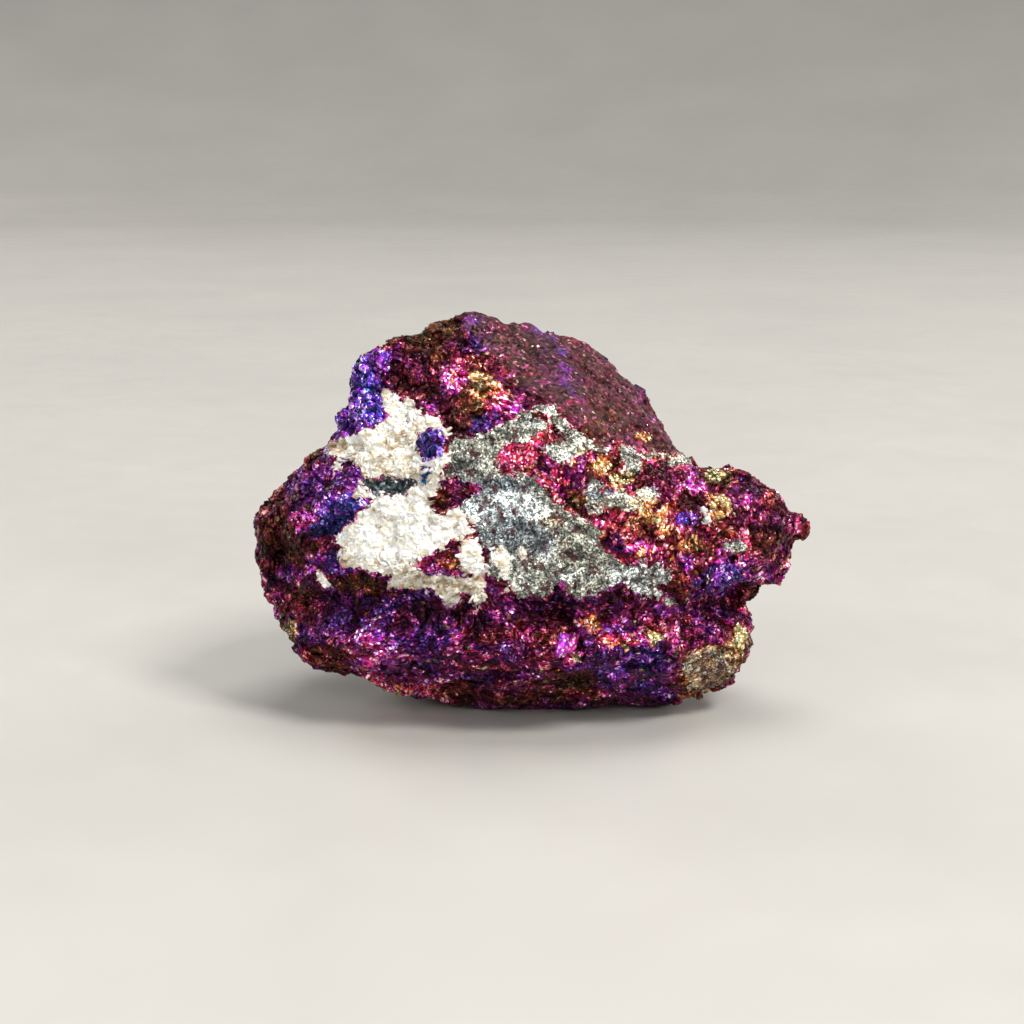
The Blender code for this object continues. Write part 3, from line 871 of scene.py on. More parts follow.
    def dress(
        self, points: np.ndarray, seen: np.ndarray, front: np.ndarray, marks: Marks
    ) -> tuple[np.ndarray, np.ndarray]:
        """Gives the plate and the crust their own hues and brightness, with a tan hue and painted shade in
        the crust's hollows.

        Args:
            points: places in millimetres.
            seen: where they are seen.
            front: how well they can be seen.
            marks: the map so far.

        Returns:
            The film's thickness or hue, and the brightness.
        """
        ragged = clouds(points, 1.2, 121)
        tint, shine = marks.tint.copy(), marks.shine.copy()
        plate = 0.35 + 0.3 * clouds(points, 3.0, 131), 0.5 + 0.25 * clouds(points, 2.0, 141)
        crust = 0.35 + 0.3 * clouds(points, 2.5, 151), 0.95 + 0.05 * ragged
        for shades, (hue, light) in ((PLATE_SHADES, plate), (CRUST_SHADES, crust)):
            for shade in shades:
                share = oval_share(seen, shade, ragged) * front
                hue += (shade.hue - hue) * share
                light += (shade.shine - light) * share
        grey = rise(marks.plate, -0.25, 0.0)
        tint += (plate[0] - tint) * grey
        shine += (plate[1] - shine) * grey
        hue, light = crust
        # The crust's hollows between cells get a tan hue and painted shade.
        gaps = rise(-cells_at(points, 2.1, 161).border, -0.20, 0.0)
        hollow = gaps * rise(clouds(points, 4.0, 163), -0.5, 0.5)
        hue += 0.40 * hollow
        light *= 1 - 0.35 * hollow
        white = rise(marks.crust, -0.25, 0.0)
        tint += (hue + 0.15 * ragged - tint) * white
        shine += (light - shine) * white
        return tint, shine


STONE = StoneMap()


# Meshes to and from arrays


def select_only(thing: bpy.types.Object) -> None:
    """Makes one object the only one selected, and the active one.

    Args:
        thing: the object.
    """
    bpy.ops.object.select_all(action="DESELECT")
    thing.select_set(True)
    bpy.context.view_layer.objects.active = thing


def edit_all() -> None:
    """Opens the active mesh with all of it selected."""
    bpy.ops.object.mode_set(mode="EDIT")
    bpy.ops.mesh.select_all(action="SELECT")


def surface_of(mesh: bpy.types.Mesh) -> Surface:
    """Reads a mesh into arrays.

    Args:
        mesh: the mesh.

    Returns:
        Its points, directions and triangles.
    """
    mesh.calc_loop_triangles()
    points = np.empty(len(mesh.vertices) * 3, np.float32)
    normals = points.copy()
    triangles = np.empty(len(mesh.loop_triangles) * 3, np.int32)
    mesh.vertices.foreach_get("co", points)
    mesh.vertex_normals.foreach_get("vector", normals)
    mesh.loop_triangles.foreach_get("vertices", triangles)
    return Surface(
        points.reshape(-1, 3).astype(float) / MM,
        normals.reshape(-1, 3).astype(float),
        triangles.reshape(-1, 3),
    )


def softened(surface: Surface, rounds: int) -> Surface:
    """Evens out a surface's directions, so that they follow its broad form.

    Args:
        surface: the surface.
        rounds: how often each direction is averaged with its neighbours'.

    Returns:
        The surface with the even directions.
    """
    normals = surface.normals
    corners = surface.triangles.ravel()
    for _ in range(rounds):
        faces = normals[surface.triangles].sum(axis=1)
        spread = np.repeat(faces, 3, axis=0)
        normals = np.stack([np.bincount(corners, spread[:, axis], len(normals)) for axis in range(3)], axis=1)
        normals /= np.linalg.norm(normals, axis=1, keepdims=True)
    return surface._replace(normals=normals)


def write_points(mesh: bpy.types.Mesh, points: np.ndarray) -> None:
    """Moves a mesh's vertices to new places in millimetres."""
    mesh.vertices.foreach_set("co", (points * MM).astype(np.float32).ravel())
    mesh.update()


def write_marks(mesh: bpy.types.Mesh, marks: dict[str, np.ndarray]) -> None:
    """Stores values of the map on a mesh's vertices.

    Args:
        mesh: the mesh.
        marks: the values by name.
    """
    for name, values in marks.items():
        layer = mesh.attributes.new(name, "FLOAT", "POINT")
        layer.data.foreach_set("value", values.astype(np.float32))


def within_box(points: np.ndarray) -> np.ndarray:
    """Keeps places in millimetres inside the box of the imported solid."""
    low, high = np.array(CAD_BOX) / MM
    return np.clip(points, low, high)


def mesh_of(name: str, points: np.ndarray, triangles: np.ndarray) -> bpy.types.Object:
    """Makes an object from arrays.

    Args:
        name: its name.
        points: vertices in millimetres.
        triangles: three vertices for each face.

    Returns:
        The new object.
    """
    mesh = bpy.data.meshes.new(name)
    mesh.vertices.add(len(points))
    mesh.vertices.foreach_set("co", (points * MM).astype(np.float32).ravel())
    mesh.loops.add(len(triangles) * 3)
    mesh.loops.foreach_set("vertex_index", triangles.astype(np.int32).ravel())
    mesh.polygons.add(len(triangles))
    mesh.polygons.foreach_set("loop_start", np.arange(0, len(triangles) * 3, 3, dtype=np.int32))
    mesh.update(calc_edges=True)
    thing = bpy.data.objects.new(name, mesh)
    bpy.context.scene.collection.objects.link(thing)
    return thing


def ride_on_stone(thing: bpy.types.Object, material: bpy.types.Material) -> None:
    """Fixes a finished piece to the stone and gives it its material.

    Args:
        thing: the piece.
        material: its material.
    """
    thing.data.materials.clear()
    thing.data.materials.append(material)
    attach(thing, BODY)


# Finishes


class Board:
    """A material's node tree, with short ways to add to it."""

    def __init__(self, name: str) -> None:
        """Starts an empty material.

        Args:
            name: the material's name.
        """
        self.material = bpy.data.materials.new(name)
        self.material.use_nodes = True
        self.tree = self.material.node_tree
        self.shader = self.tree.nodes["Principled BSDF"]
        place = self.add("ShaderNodeTexCoord")
        self.place = self.vector("SCALE", place.outputs["Object"], scale=1 / MM)

    def add(self, kind: str, inputs: dict[Any, Any] | None = None, **settings: Any) -> bpy.types.Node:
        """Adds a node.

        Args:
            kind: the node's type.
            inputs: values or links for its inputs.
            settings: properties of the node.

        Returns:
            The node.
        """
        node = self.tree.nodes.new(kind)
        for name, value in settings.items():
            setattr(node, name, value)
        for name, value in (inputs or {}).items():
            if isinstance(value, bpy.types.NodeSocket):
                self.tree.links.new(value, node.inputs[name])
            else:
                node.inputs[name].default_value = value
        return node

    def maths(self, operation: str, first: Any, second: Any = 0.0, clamp: bool = False) -> Any:
        """Adds a sum on one or two values or links and gives its socket."""
        node = self.add("ShaderNodeMath", {0: first, 1: second}, operation=operation, use_clamp=clamp)
        return node.outputs[0]

    def vector(self, operation: str, first: Any, second: Any = None, scale: Any = None) -> Any:
        """Adds a sum on vectors or colours.

        Args:
            operation: which sum.
            first: a vector or link.
            second: a vector or link.
            scale: a factor, for scaling.

        Returns:
            The result's socket.
        """
        inputs = {0: first}
        if second is not None:
            inputs[1] = second
        if scale is not None:
            inputs["Scale"] = scale
        return self.add("ShaderNodeVectorMath", inputs, operation=operation).outputs["Vector"]

    def mark(self, name: str) -> Any:
        """Reads one of the map's values on the mesh."""
        return self.add("ShaderNodeAttribute", attribute_name=name).outputs["Fac"]

    def sheaf(self, size: float, length: float) -> Any:
        """Turns space differently in each cell and shortens it one way, so that grains come out long.

        Args:
            size: a sheaf's width in millimetres.
            length: how many times longer than wide the grains are.

        Returns:
            The place's socket.
        """
        turn = self.vector("SCALE", self.cells(size), scale=math.tau)
        inputs = {"Vector": self.place, "Rotation": turn}
        turned = self.add("ShaderNodeVectorRotate", inputs, rotation_type="EULER_XYZ")
        return self.vector("MULTIPLY", turned.outputs["Vector"], (1 / length, 1, 1))

    def cells(self, size: float, place: Any = None) -> Any:
        """Adds broken cells with a random colour each.

        Args:
            size: a cell's width in millimetres.
            place: where they are read, or None for the plain place.

        Returns:
            The colour's socket.
        """
        place = place or self.place
        node = self.add("ShaderNodeTexVoronoi", {"Vector": place, "Scale": 1 / size})
        return node.outputs["Color"]

    def noise(self, size: float, detail: float = 2.0, stretch: tuple[float, float, float] = (1, 1, 1)) -> Any:
        """Adds soft noise.

        Args:
            size: its coarsest size in millimetres.
            detail: how many finer layers it has.
            stretch: how much finer it is along each axis.

        Returns:
            The value's socket, about 0 to 1.
        """
        place = self.vector("MULTIPLY", self.place, stretch)
        node = self.add("ShaderNodeTexNoise", {"Vector": place, "Scale": 1 / size, "Detail": detail})
        return node.outputs["Fac"]

    def part(self, colour: Any, index: int) -> Any:
        """Takes one of the three numbers of a colour."""
        return self.add("ShaderNodeSeparateColor", {"Color": colour}).outputs[index]

    def stretch(self, value: Any, old: tuple[float, float], new: tuple[float, float]) -> Any:
        """Moves a link's value from its old range to a new one."""
        inputs = {0: value, 1: old[0], 2: old[1], 3: new[0], 4: new[1]}
        return self.add("ShaderNodeMapRange", inputs).outputs[0]

    def ramp(self, value: Any, stops: tuple[tuple[float, tuple[float, float, float]], ...]) -> Any:
        """Turns a value into a colour.

        Args:
            value: the value's link.
            stops: places from 0 to 1 with their colours.

        Returns:
            The colour's socket.
        """
        node = self.add("ShaderNodeValToRGB", {0: value})
        first, *others = stops
        node.color_ramp.elements.remove(node.color_ramp.elements[1])
        node.color_ramp.elements[0].position = first[0]
        node.color_ramp.elements[0].color = (*first[1], 1)
        for place, colour in others:
            node.color_ramp.elements.new(place).color = (*colour, 1)
        return node.outputs["Color"]

    def blend(self, share: Any, first: Any, second: Any) -> Any:
        """Blends two colours or links, by the share of the second."""
        inputs = {0: share, 6: first, 7: second}
        return self.add("ShaderNodeMix", inputs, data_type="RGBA").outputs[2]

    def blend_value(self, share: Any, first: Any, second: Any) -> Any:
        """Blends two values or links, by the share of the second."""
        inputs = {0: share, 2: first, 3: second}
        return self.add("ShaderNodeMix", inputs, data_type="FLOAT").outputs[0]

    def tilted(self, colours: tuple[tuple[Any, float], ...]) -> Any:
        """Tilts the surface's direction by random colours, as broken grains do.

        Args:
            colours: each colour's link and how far it tilts.

        Returns:
            The direction's socket.
        """
        way = self.add("ShaderNodeNewGeometry").outputs["Normal"]
        for colour, amount in colours:
            lean = self.vector("SUBTRACT", colour, (0.5, 0.5, 0.5))
            way = self.vector("ADD", way, self.vector("SCALE", lean, scale=amount))
        return self.vector("NORMALIZE", way)


class Coat(NamedTuple):
    """What a finish gives the shader: links for colour, metal, roughness and direction."""

    colour: Any
    metal: Any
    rough: Any
    way: Any


class Finish(Protocol):
    """What can coat a piece."""

    def coat(self, board: Board) -> Coat:
        """Builds the finish in a material and gives its links."""


FILM = (
    (0.00, (0.90, 0.86, 0.46)),
    (0.10, (0.96, 0.60, 0.20)),
    (0.20, (0.80, 0.25, 0.07)),
    (0.31, (0.52, 0.035, 0.030)),
    (0.41, (0.62, 0.030, 0.10)),
    (0.51, (0.66, 0.035, 0.34)),
    (0.60, (0.42, 0.030, 0.48)),
    (0.68, (0.25, 0.050, 0.66)),
    (0.76, (0.14, 0.055, 0.58)),
    (0.84, (0.08, 0.130, 0.72)),
    (0.91, (0.08, 0.160, 0.74)),
    (0.97, (0.03, 0.260, 0.30)),
)
SLATE = ((0.2, (0.008, 0.014, 0.016)), (1.0, (0.09, 0.12, 0.13)))


@dataclass(frozen=True)
class TarnishFinish:
    """The iridescent film on broken metal ore, coloured by its thickness and split into small grains, with
    painted glints on the brightest.
    """

    grain: float = 0.25
    sheaf: float = 2.6
    length: float = 3.0
    facet: float = 0.95
    grain_tilt: float = 0.45
    facet_tilt: float = 0.25
    drift: float = 0.16
    cloud: float = 0.26
    metal: float = 0.85
    light: tuple[float, float] = (0.42, 3.0)
    spread: tuple[float, float] = (0.50, 1.50)
    rough: tuple[float, float] = (0.28, 0.52)

    def coat(self, board: Board) -> Coat:
        """Builds the finish.

        Args:
            board: the material it is part of.

        Returns:
            Its links.
        """
        grains = board.cells(self.grain, board.sheaf(self.sheaf, self.length))
        plates = board.cells(self.facet)
        one, two = board.part(grains, 0), board.part(grains, 1)
        wander = board.maths("MULTIPLY", board.maths("SUBTRACT", one, 0.5), self.drift)
        cloud = board.maths("MULTIPLY", board.maths("SUBTRACT", board.noise(1.5, 3.0), 0.5), self.cloud)
        film = board.maths("ADD", board.mark("tint"), board.maths("ADD", wander, cloud), clamp=True)
        colour = board.ramp(film, FILM)
        # Painted glints: the brightest grains turn pale pink and up to several times brighter, more where the
        # map's shine is high.
        strong = board.stretch(board.mark("shine"), (0.1, 0.7), (0.15, 0.62))
        glint = board.maths("MULTIPLY", board.stretch(two, (0.70, 1.0), (0, 1)), strong)
        colour = board.blend(glint, colour, (1.0, 0.80, 0.86, 1))
        light = board.stretch(board.maths("POWER", two, 2.6), (0, 1), self.light)
        spread = board.stretch(board.noise(0.9, 3.0), (0.36, 0.64), self.spread)
        shine = board.maths("MULTIPLY", board.maths("MULTIPLY", board.mark("shine"), light), spread)
        colour = board.vector("SCALE", colour, scale=shine)
        rough = board.stretch(board.part(plates, 2), (0, 1), self.rough)
        way = board.tilted(((grains, self.grain_tilt), (plates, self.facet_tilt)))
        return Coat(colour, self.metal, rough, way)


@dataclass(frozen=True)
class DullFinish:
    """The dusty mauve film on the crown's long slope, with striations, a few bright specks and painted shade
    of small pits.
    """

    grain: float = 0.26
    length: float = 1.7
    stripe_turn: float = -0.8

    def coat(self, board: Board) -> Coat:
        """Builds the finish.

        Args:
            board: the material it is part of.

        Returns:
            Its links.
        """
        across = self.lines(board)
        grains = board.cells(self.grain, across)
        dust = board.noise(0.9, 4.0)
        broad = board.noise(5.0, 2.0)
        colour = board.ramp(
            board.maths("ADD", board.maths("MULTIPLY", broad, 0.6), board.maths("MULTIPLY", dust, 0.4)),
            (
                (0.34, (0.028, 0.006, 0.006)),
                (0.43, (0.080, 0.019, 0.020)),
                (0.50, (0.055, 0.018, 0.014)),
                (0.57, (0.070, 0.014, 0.027)),
                (0.66, (0.130, 0.056, 0.040)),
            ),
        )
        light = board.stretch(board.part(board.cells(0.50, across), 1), (0, 1), (0.55, 1.5))
        light = board.maths("MULTIPLY", light, board.stretch(board.part(grains, 2), (0, 1), (0.5, 1.5)))
        colour = board.vector("SCALE", colour, scale=light)
        film = board.ramp(board.mark("tint"), FILM)
        strong = board.stretch(board.mark("shine"), (0.20, 1.0), (0.02, 0.42))
        colour = board.blend(strong, colour, film)
        speck = board.stretch(board.part(grains, 0), (0.88, 1.0), (0, 0.75))
        bright = board.ramp(
            board.part(grains, 1),
            (
                (0.0, (0.75, 0.10, 0.36)),
                (0.6, (0.75, 0.24, 0.32)),
                (0.8, (0.85, 0.55, 0.25)),
                (1.0, (0.9, 0.85, 0.80)),
            ),
        )
        colour = board.blend(speck, colour, bright)
        # Painted shade of the slope's small pits: the colour is darkened and lightened in fine patches.
        pit_shade = board.stretch(board.noise(0.45, 3.0), (0.36, 0.60), (0.25, 1.25))
        colour = board.vector("SCALE", colour, scale=pit_shade)
        metal = board.stretch(speck, (0, 0.8), (0.55, 0.85))
        rough = board.stretch(speck, (0, 0.8), (0.66, 0.35))
        way = board.tilted(((grains, 0.5), (board.cells(0.9), 0.25)))
        return Coat(colour, metal, rough, way)

    def lines(self, board: Board) -> Any:
        """Turns and shortens space along the slope's striations.

        Args:
            board: the material it is part of.

        Returns:
            The place's socket.
        """
        inputs = {"Vector": board.place, "Rotation": (0.0, self.stripe_turn, 0.0)}
        turned = board.add("ShaderNodeVectorRotate", inputs, rotation_type="EULER_XYZ")
        return board.vector("MULTIPLY", turned.outputs["Vector"], (1 / self.length, 1, 1))


@dataclass(frozen=True)
class PlateFinish:
    """The fine grey sulphide, a mass of dark, silvery and white grains."""

    grain: float = 0.20
    grain_tilt: float = 0.6

    def coat(self, board: Board) -> Coat:
        """Builds the finish.

        Args:
            board: the material it is part of.

        Returns:
            Its links.
        """
        grains = board.cells(self.grain)
        drift = board.stretch(board.noise(2.0, 3.0), (0.3, 0.7), (-0.18, 0.18))
        colour = board.ramp(
            board.maths("ADD", board.mark("tint"), drift),
            (
                (0.0, (0.62, 0.40, 0.24)),
                (0.2, (0.62, 0.62, 0.51)),
                (0.6, (0.60, 0.64, 0.62)),
                (1.0, (0.54, 0.63, 0.70)),
            ),
        )
        light = board.stretch(board.maths("POWER", board.part(grains, 0), 1.9), (0, 1), (0.30, 3.1))
        patch = board.stretch(board.noise(1.6, 5.0), (0.36, 0.64), (0.30, 1.75))
        shine = board.maths("MULTIPLY", board.maths("MULTIPLY", board.mark("shine"), light), patch)
        colour = board.vector("SCALE", colour, scale=shine)
        rust = board.stretch(board.noise(1.3, 4.0), (0.56, 0.61), (0, 0.85))
        colour = board.blend(rust, colour, (0.085, 0.016, 0.022, 1))
        rough = board.stretch(board.part(grains, 1), (0, 1), (0.32, 0.60))
        way = board.tilted(((grains, self.grain_tilt), (board.cells(0.7), 0.3)))
        return Coat(colour, 0.35, rough, way)


@dataclass(frozen=True)
class CrustFinish:
    """The pale calcite crust, cream with tan hollows that carry painted shade from the map, and a felt of
    fine blades.
    """

    grain_tilt: float = 0.4

    def coat(self, board: Board) -> Coat:
        """Builds the finish.

        Args:
            board: the material it is part of.

        Returns:
            Its links.
        """
        felt = board.noise(1.3, 4.0, (1.0, 1.0, 2.0))
        hue = board.maths("ADD", board.mark("tint"), board.stretch(felt, (0.3, 0.7), (-0.35, 0.45)))
        colour = board.ramp(
            hue,
            (
                (0.15, (0.96, 0.955, 0.93)),
                (0.45, (0.95, 0.92, 0.83)),
                (0.75, (0.80, 0.69, 0.50)),
                (1.00, (0.46, 0.32, 0.19)),
            ),
        )
        grains = board.cells(0.3)
        light = board.stretch(board.part(grains, 0), (0, 1), (0.80, 1.06))
        colour = board.vector("SCALE", colour, scale=board.maths("MULTIPLY", light, board.mark("shine")))
        way = board.tilted(((grains, self.grain_tilt), (board.cells(0.9), 0.3)))
        return Coat(colour, 0.0, 0.62, way)


@dataclass(frozen=True)
class SkinFinish:
    """All minerals of the stone on one skin, parted by the map's ragged outlines."""

    tarnish: TarnishFinish = TarnishFinish()
    dull: DullFinish = DullFinish()
    plate: PlateFinish = PlateFinish()
    crust: CrustFinish = CrustFinish()

    def material(self, name: str) -> bpy.types.Material:
        """Makes the material.

        Args:
            name: its name.

        Returns:
            The material.
        """
        board = Board(name)
        ragged = board.stretch(board.noise(0.45, 3.0), (0.3, 0.7), (-0.16, 0.16))
        slate = Coat(
            board.ramp(board.part(board.cells(0.4), 0), SLATE),
            0.3,
            0.4,
            board.tilted(((board.cells(0.4), 0.8),)),
        )
        layers = (
            (self.dull.coat(board), board.mark("dull")),
            (self.plate.coat(board), self.edge(board, "plate", ragged)),
            (slate, board.mark("slate")),
            (self.crust.coat(board), self.edge(board, "crust", ragged)),
        )
        coat = self.tarnish.coat(board)
        for over, share in layers:
            coat = Coat(
                board.blend(share, coat.colour, over.colour),
                board.blend_value(share, coat.metal, over.metal),
                board.blend_value(share, coat.rough, over.rough),
                board.blend(share, coat.way, over.way),
            )
        return dress_shader(board, coat)

    def edge(self, board: Board, name: str, ragged: Any) -> Any:
        """Turns the map's depth inside an outline into a crisp ragged share."""
        depth = board.maths("ADD", board.mark(name), ragged)
        return board.stretch(depth, (-0.03, 0.03), (0, 1))


def dress_shader(board: Board, coat: Coat) -> bpy.types.Material:
    """Joins a finish to the shader.

    Args:
        board: the material.
        coat: the finish's links.

    Returns:
        The material.
    """
    names = ("Base Color", "Metallic", "Roughness", "Normal")
    for name, value in zip(names, coat):
        if isinstance(value, bpy.types.NodeSocket):
            board.tree.links.new(value, board.shader.inputs[name])
        elif value is not None:
            board.shader.inputs[name].default_value = value
    return board.material


def plain_material(name: str, finish: Finish) -> bpy.types.Material:
    """Makes a material of one finish."""
    board = Board(name)
    return dress_shader(board, finish.coat(board))


# Pieces


@dataclass
class OreSkin:
    """The whole stone's skin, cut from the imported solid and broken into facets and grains.

    Attributes:
        voxel: size of its first even faces, in millimetres.
        triangles: how many triangles it ends with.
        lump_lean: steepness of the lumps' faces.
        lump_step: how much higher one lump stands than another.
        crease: depth of the creases between lumps.
        facet_lean: steepness of the facets.
        ridge_lean: steepness of the ridges.
        band: height of the slaty bands low down.
        striation: height of the slope's striations.
        pit: depth of the pits.
        crust_lift: thickness of the pale crust.
        plate_grain: height of the plate's grains.
        bead: height of the domes on the knob.
        slate_sink: how deep the dark streak lies.
    """

    voxel: float = 0.21
    quick_voxel: float = 0.42
    triangles: int = 193000
    lump_lean: float = 0.22
    lump_step: float = 0.34
    crease: float = 0.20
    facet_lean: float = 0.24
    ridge_lean: float = 0.42
    band: float = 0.16
    striation: float = 0.34
    pit: float = 0.45
    crust_lift: float = 0.22
    plate_grain: float = 0.14
    bead: float = 0.42
    slate_sink: float = 0.25

    def start(self) -> bpy.types.Object:
        """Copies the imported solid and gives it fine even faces.

        Returns:
            The copy.
        """
        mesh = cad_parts[NODE].data.copy()
        mesh.name = "ore_skin"
        skin = bpy.data.objects.new("ore_skin", mesh)
        bpy.context.scene.collection.objects.link(skin)
        select_only(skin)
        edit_all()
        bpy.ops.mesh.remove_doubles(threshold=1e-6)
        bpy.ops.mesh.normals_make_consistent(inside=False)
        bpy.ops.object.mode_set(mode="OBJECT")
        remesh = skin.modifiers.new("even", "REMESH")
        remesh.mode = "VOXEL"
        remesh.voxel_size = self.voxel * MM
        bpy.ops.object.modifier_apply(modifier="even")
        soften = skin.modifiers.new("soften", "SMOOTH")
        soften.factor = 0.5
        soften.iterations = 4
        bpy.ops.object.modifier_apply(modifier="soften")
        return skin

    def relief(self, surface: Surface, marks: Marks) -> np.ndarray:
        """Works out how far the skin stands in or out.

        Args:
            surface: the smooth skin.
            marks: the map on it.

        Returns:
            Heights in millimetres.
        """
        points = surface.points
        seen = VIEW.seen(points)
        crust, plate = rise(marks.crust, -0.1, 0.12), rise(marks.plate, -0.1, 0.2)
        front = STONE.front_share(surface.normals)
        calm = np.clip(marks.dull + 0.6 * crust + 0.45 * plate, 0, 1)
        lump = cells_at(lump_space(points), LUMP, LUMP_KEY)
        broken = LUMP * self.lump_lean * (lump.offset * (lump.random * 2 - 1)).sum(axis=1)
        broken += self.lump_step * (lump.random[:, 2] - 0.5) - self.crease * rise(-lump.border, -0.10, 0.0)
        broken += facets(points, FACET, self.facet_lean, FACET_KEY)
        ridges = ridge_space(points)
        small = facets(ridges, RIDGE, self.ridge_lean, RIDGE_KEY)
        small -= 0.10 * cells_at(ridges, RIDGE * 1.7, 222).near
        heights = broken * (1 - 0.6 * calm) + small * (1 - 0.45 * calm)
        lower = rise(seen[:, 1], 575, 600) * front + rise(-points[:, 2], -11, -7) * (1 - front)
        bands = np.stack((points[:, 0] / 5.0, points[:, 1] / 5.0, points[:, 2]), axis=1)
        heights += self.band * lower * smooth_noise(bands, 0.55, 231)
        across = (points[:, 0] + points[:, 2]) * 0.7071
        down = (points[:, 0] - points[:, 2]) * 0.7071
        lines = np.stack((across, down / 7.0, points[:, 1] / 3.0), axis=1)
        steps = smooth_noise(lines, 0.55, 241) + facets(lines, 1.6, 0.5, 242)
        heights += self.striation * marks.dull * steps
        pits = rise(smooth_noise(points, 1.7, 251), 0.40, 0.75)
        heights -= self.pit * pits * (1 - calm) + 0.15 * pits * marks.dull
        felt = facets(points, 1.7, 0.34, 260) + facets(points * np.array((1.0, 1.0, 1.6)), 0.7, 0.40, 261)
        heights += crust * (self.crust_lift + felt * 0.7)
        grains = cells_at(points, 0.42, 271)
        heights += plate * (1 - crust) * self.plate_grain * (0.5 - grains.near)
        domes = cells_at(points, 1.05, 281)
        knob = np.sqrt(np.clip(1 - (domes.near / 0.62) ** 2, 0, 1)) * self.bead - 0.15
        heights += marks.knob * (knob - heights * 0.8)
        heights -= self.slate_sink * marks.slate * (1 - crust)
        foot = rise(points[:, 2], 0.15, 1.6)
        return heights * foot

    def build(self) -> bpy.types.Object:
        """Builds the skin with its map.

        Returns:
            The skin.
        """
        skin = self.start()
        surface = surface_of(skin.data)
        marks = STONE.read(surface.points, surface.normals)
        heights = self.relief(surface, marks)
        write_points(skin.data, within_box(surface.points + surface.normals * heights[:, None]))
        select_only(skin)
        thin = skin.modifiers.new("thin", "DECIMATE")
        thin.ratio = min(1.0, self.triangles / len(surface.triangles))
        bpy.ops.object.modifier_apply(modifier="thin")
        bpy.ops.object.shade_flat()
        return skin

    def dress(self, skin: bpy.types.Object) -> "Ground":
        """Stores the map on the skin and gives it its material.

        Args:
            skin: the skin.

        Returns:
            The skin and its map, for what lies on it.
        """
        surface = softened(surface_of(skin.data), 10)
        marks = STONE.read(surface.points, surface.normals)
        write_marks(skin.data, marks._asdict())
        ride_on_stone(skin, SkinFinish().material("ore_skin"))
        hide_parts(NODE)
        return Ground(surface, marks)


class Form(NamedTuple):
    """The small shape that a field of grains repeats.

    Attributes:
        points: its vertices, about 1 across, standing on the origin.
        triangles: three vertices for each face.
    """

    points: np.ndarray
    triangles: np.ndarray


class Grain(Enum):
    """The kinds of small shapes on the stone."""

    PLATE = "plate"
    BLADE = "blade"
    CRUMB = "crumb"
    BEAD = "bead"
    CUBE = "cube"


class GrainBench:
    """Models a small shape each time one is asked for."""

    def plate(self) -> None:
        """Models a thin broken plate with one corner cut off."""
        bpy.ops.mesh.primitive_cube_add(size=1.0, location=(0, 0, 0))
        edit_all()
        bpy.ops.transform.resize(value=(1.0, 0.7, 0.28), center_override=(0, 0, 0))
        bpy.ops.mesh.select_mode(type="FACE")
        bpy.ops.mesh.select_all(action="DESELECT")
        bpy.ops.object.mode_set(mode="OBJECT")
        for face in bpy.context.object.data.polygons:
            face.select = face.center.z > 0.1
        bpy.ops.object.mode_set(mode="EDIT")
        bpy.ops.transform.resize(value=(0.8, 0.85, 1), center_override=(0, 0, 0.14))
        bpy.ops.mesh.select_all(action="SELECT")
        corner, across = (0.3, 0.2, 0.0), (0.8, 0.6, 0.15)
        bpy.ops.mesh.bisect(plane_co=corner, plane_no=across, use_fill=True, clear_outer=True)

    def blade(self) -> None:
        """Models a pointed blade: a long six-sided leaf with a little thickness."""
        bpy.ops.mesh.primitive_circle_add(vertices=6, radius=0.5, fill_type="NGON")
        edit_all()
        bpy.ops.transform.resize(value=(1.0, 0.36, 1.0), center_override=(0, 0, 0))
        bpy.ops.mesh.extrude_region_move(TRANSFORM_OT_translate={"value": (0, 0, 0.09)})
        bpy.ops.transform.resize(value=(0.86, 0.7, 1.0), center_override=(0, 0, 0.09))

    def crumb(self) -> None:
        """Models a crumb of the plate: an uneven block of eight faces."""
        bpy.ops.mesh.primitive_cone_add(vertices=4, radius1=0.5, depth=0.5, location=(0, 0, 0.2))
        edit_all()
        bpy.ops.transform.vertex_random(offset=0.16, seed=3)

    def bead(self) -> None:
        """Models a rounded grain: a ball with uneven faces."""
        bpy.ops.mesh.primitive_ico_sphere_add(subdivisions=2, radius=0.5)
        edit_all()
        bpy.ops.transform.vertex_random(offset=0.07, seed=5)

    def cube(self) -> None:
        """Models a pyrite grain: a block with its edges cut back."""
        bpy.ops.mesh.primitive_cube_add(size=0.8)
        edit_all()
        bpy.ops.mesh.bevel(offset=0.08, segments=1, affect="EDGES")

    def make(self, kind: Grain) -> Form:
        """Models one kind of shape and reads it.

        Args:
            kind: which one.

        Returns:
            The shape.
        """
        bpy.ops.object.select_all(action="DESELECT")
        getattr(self, kind.value)()
        bpy.ops.mesh.select_all(action="SELECT")
        bpy.ops.mesh.quads_convert_to_tris()
        bpy.ops.mesh.normals_make_consistent(inside=False)
        bpy.ops.object.mode_set(mode="OBJECT")
        thing = bpy.context.object
        bpy.ops.object.transform_apply(location=True, rotation=True, scale=True)
        surface = surface_of(thing.data)
        bpy.data.objects.remove(thing)
        return Form(surface.points * MM, surface.triangles)


class Ground(NamedTuple):
    """The dressed skin that grains lie on: its mesh and the map on its vertices."""

    surface: Surface
    marks: Marks


class Spots(NamedTuple):
    """Places on the stone's skin for grains, with what the stone is there."""

    points: np.ndarray
    normals: np.ndarray
    marks: Marks

    def pick(self, chosen: np.ndarray) -> "Spots":
        """Keeps the chosen places."""
        return Spots(self.points[chosen], self.normals[chosen], Marks(*(m[chosen] for m in self.marks)))


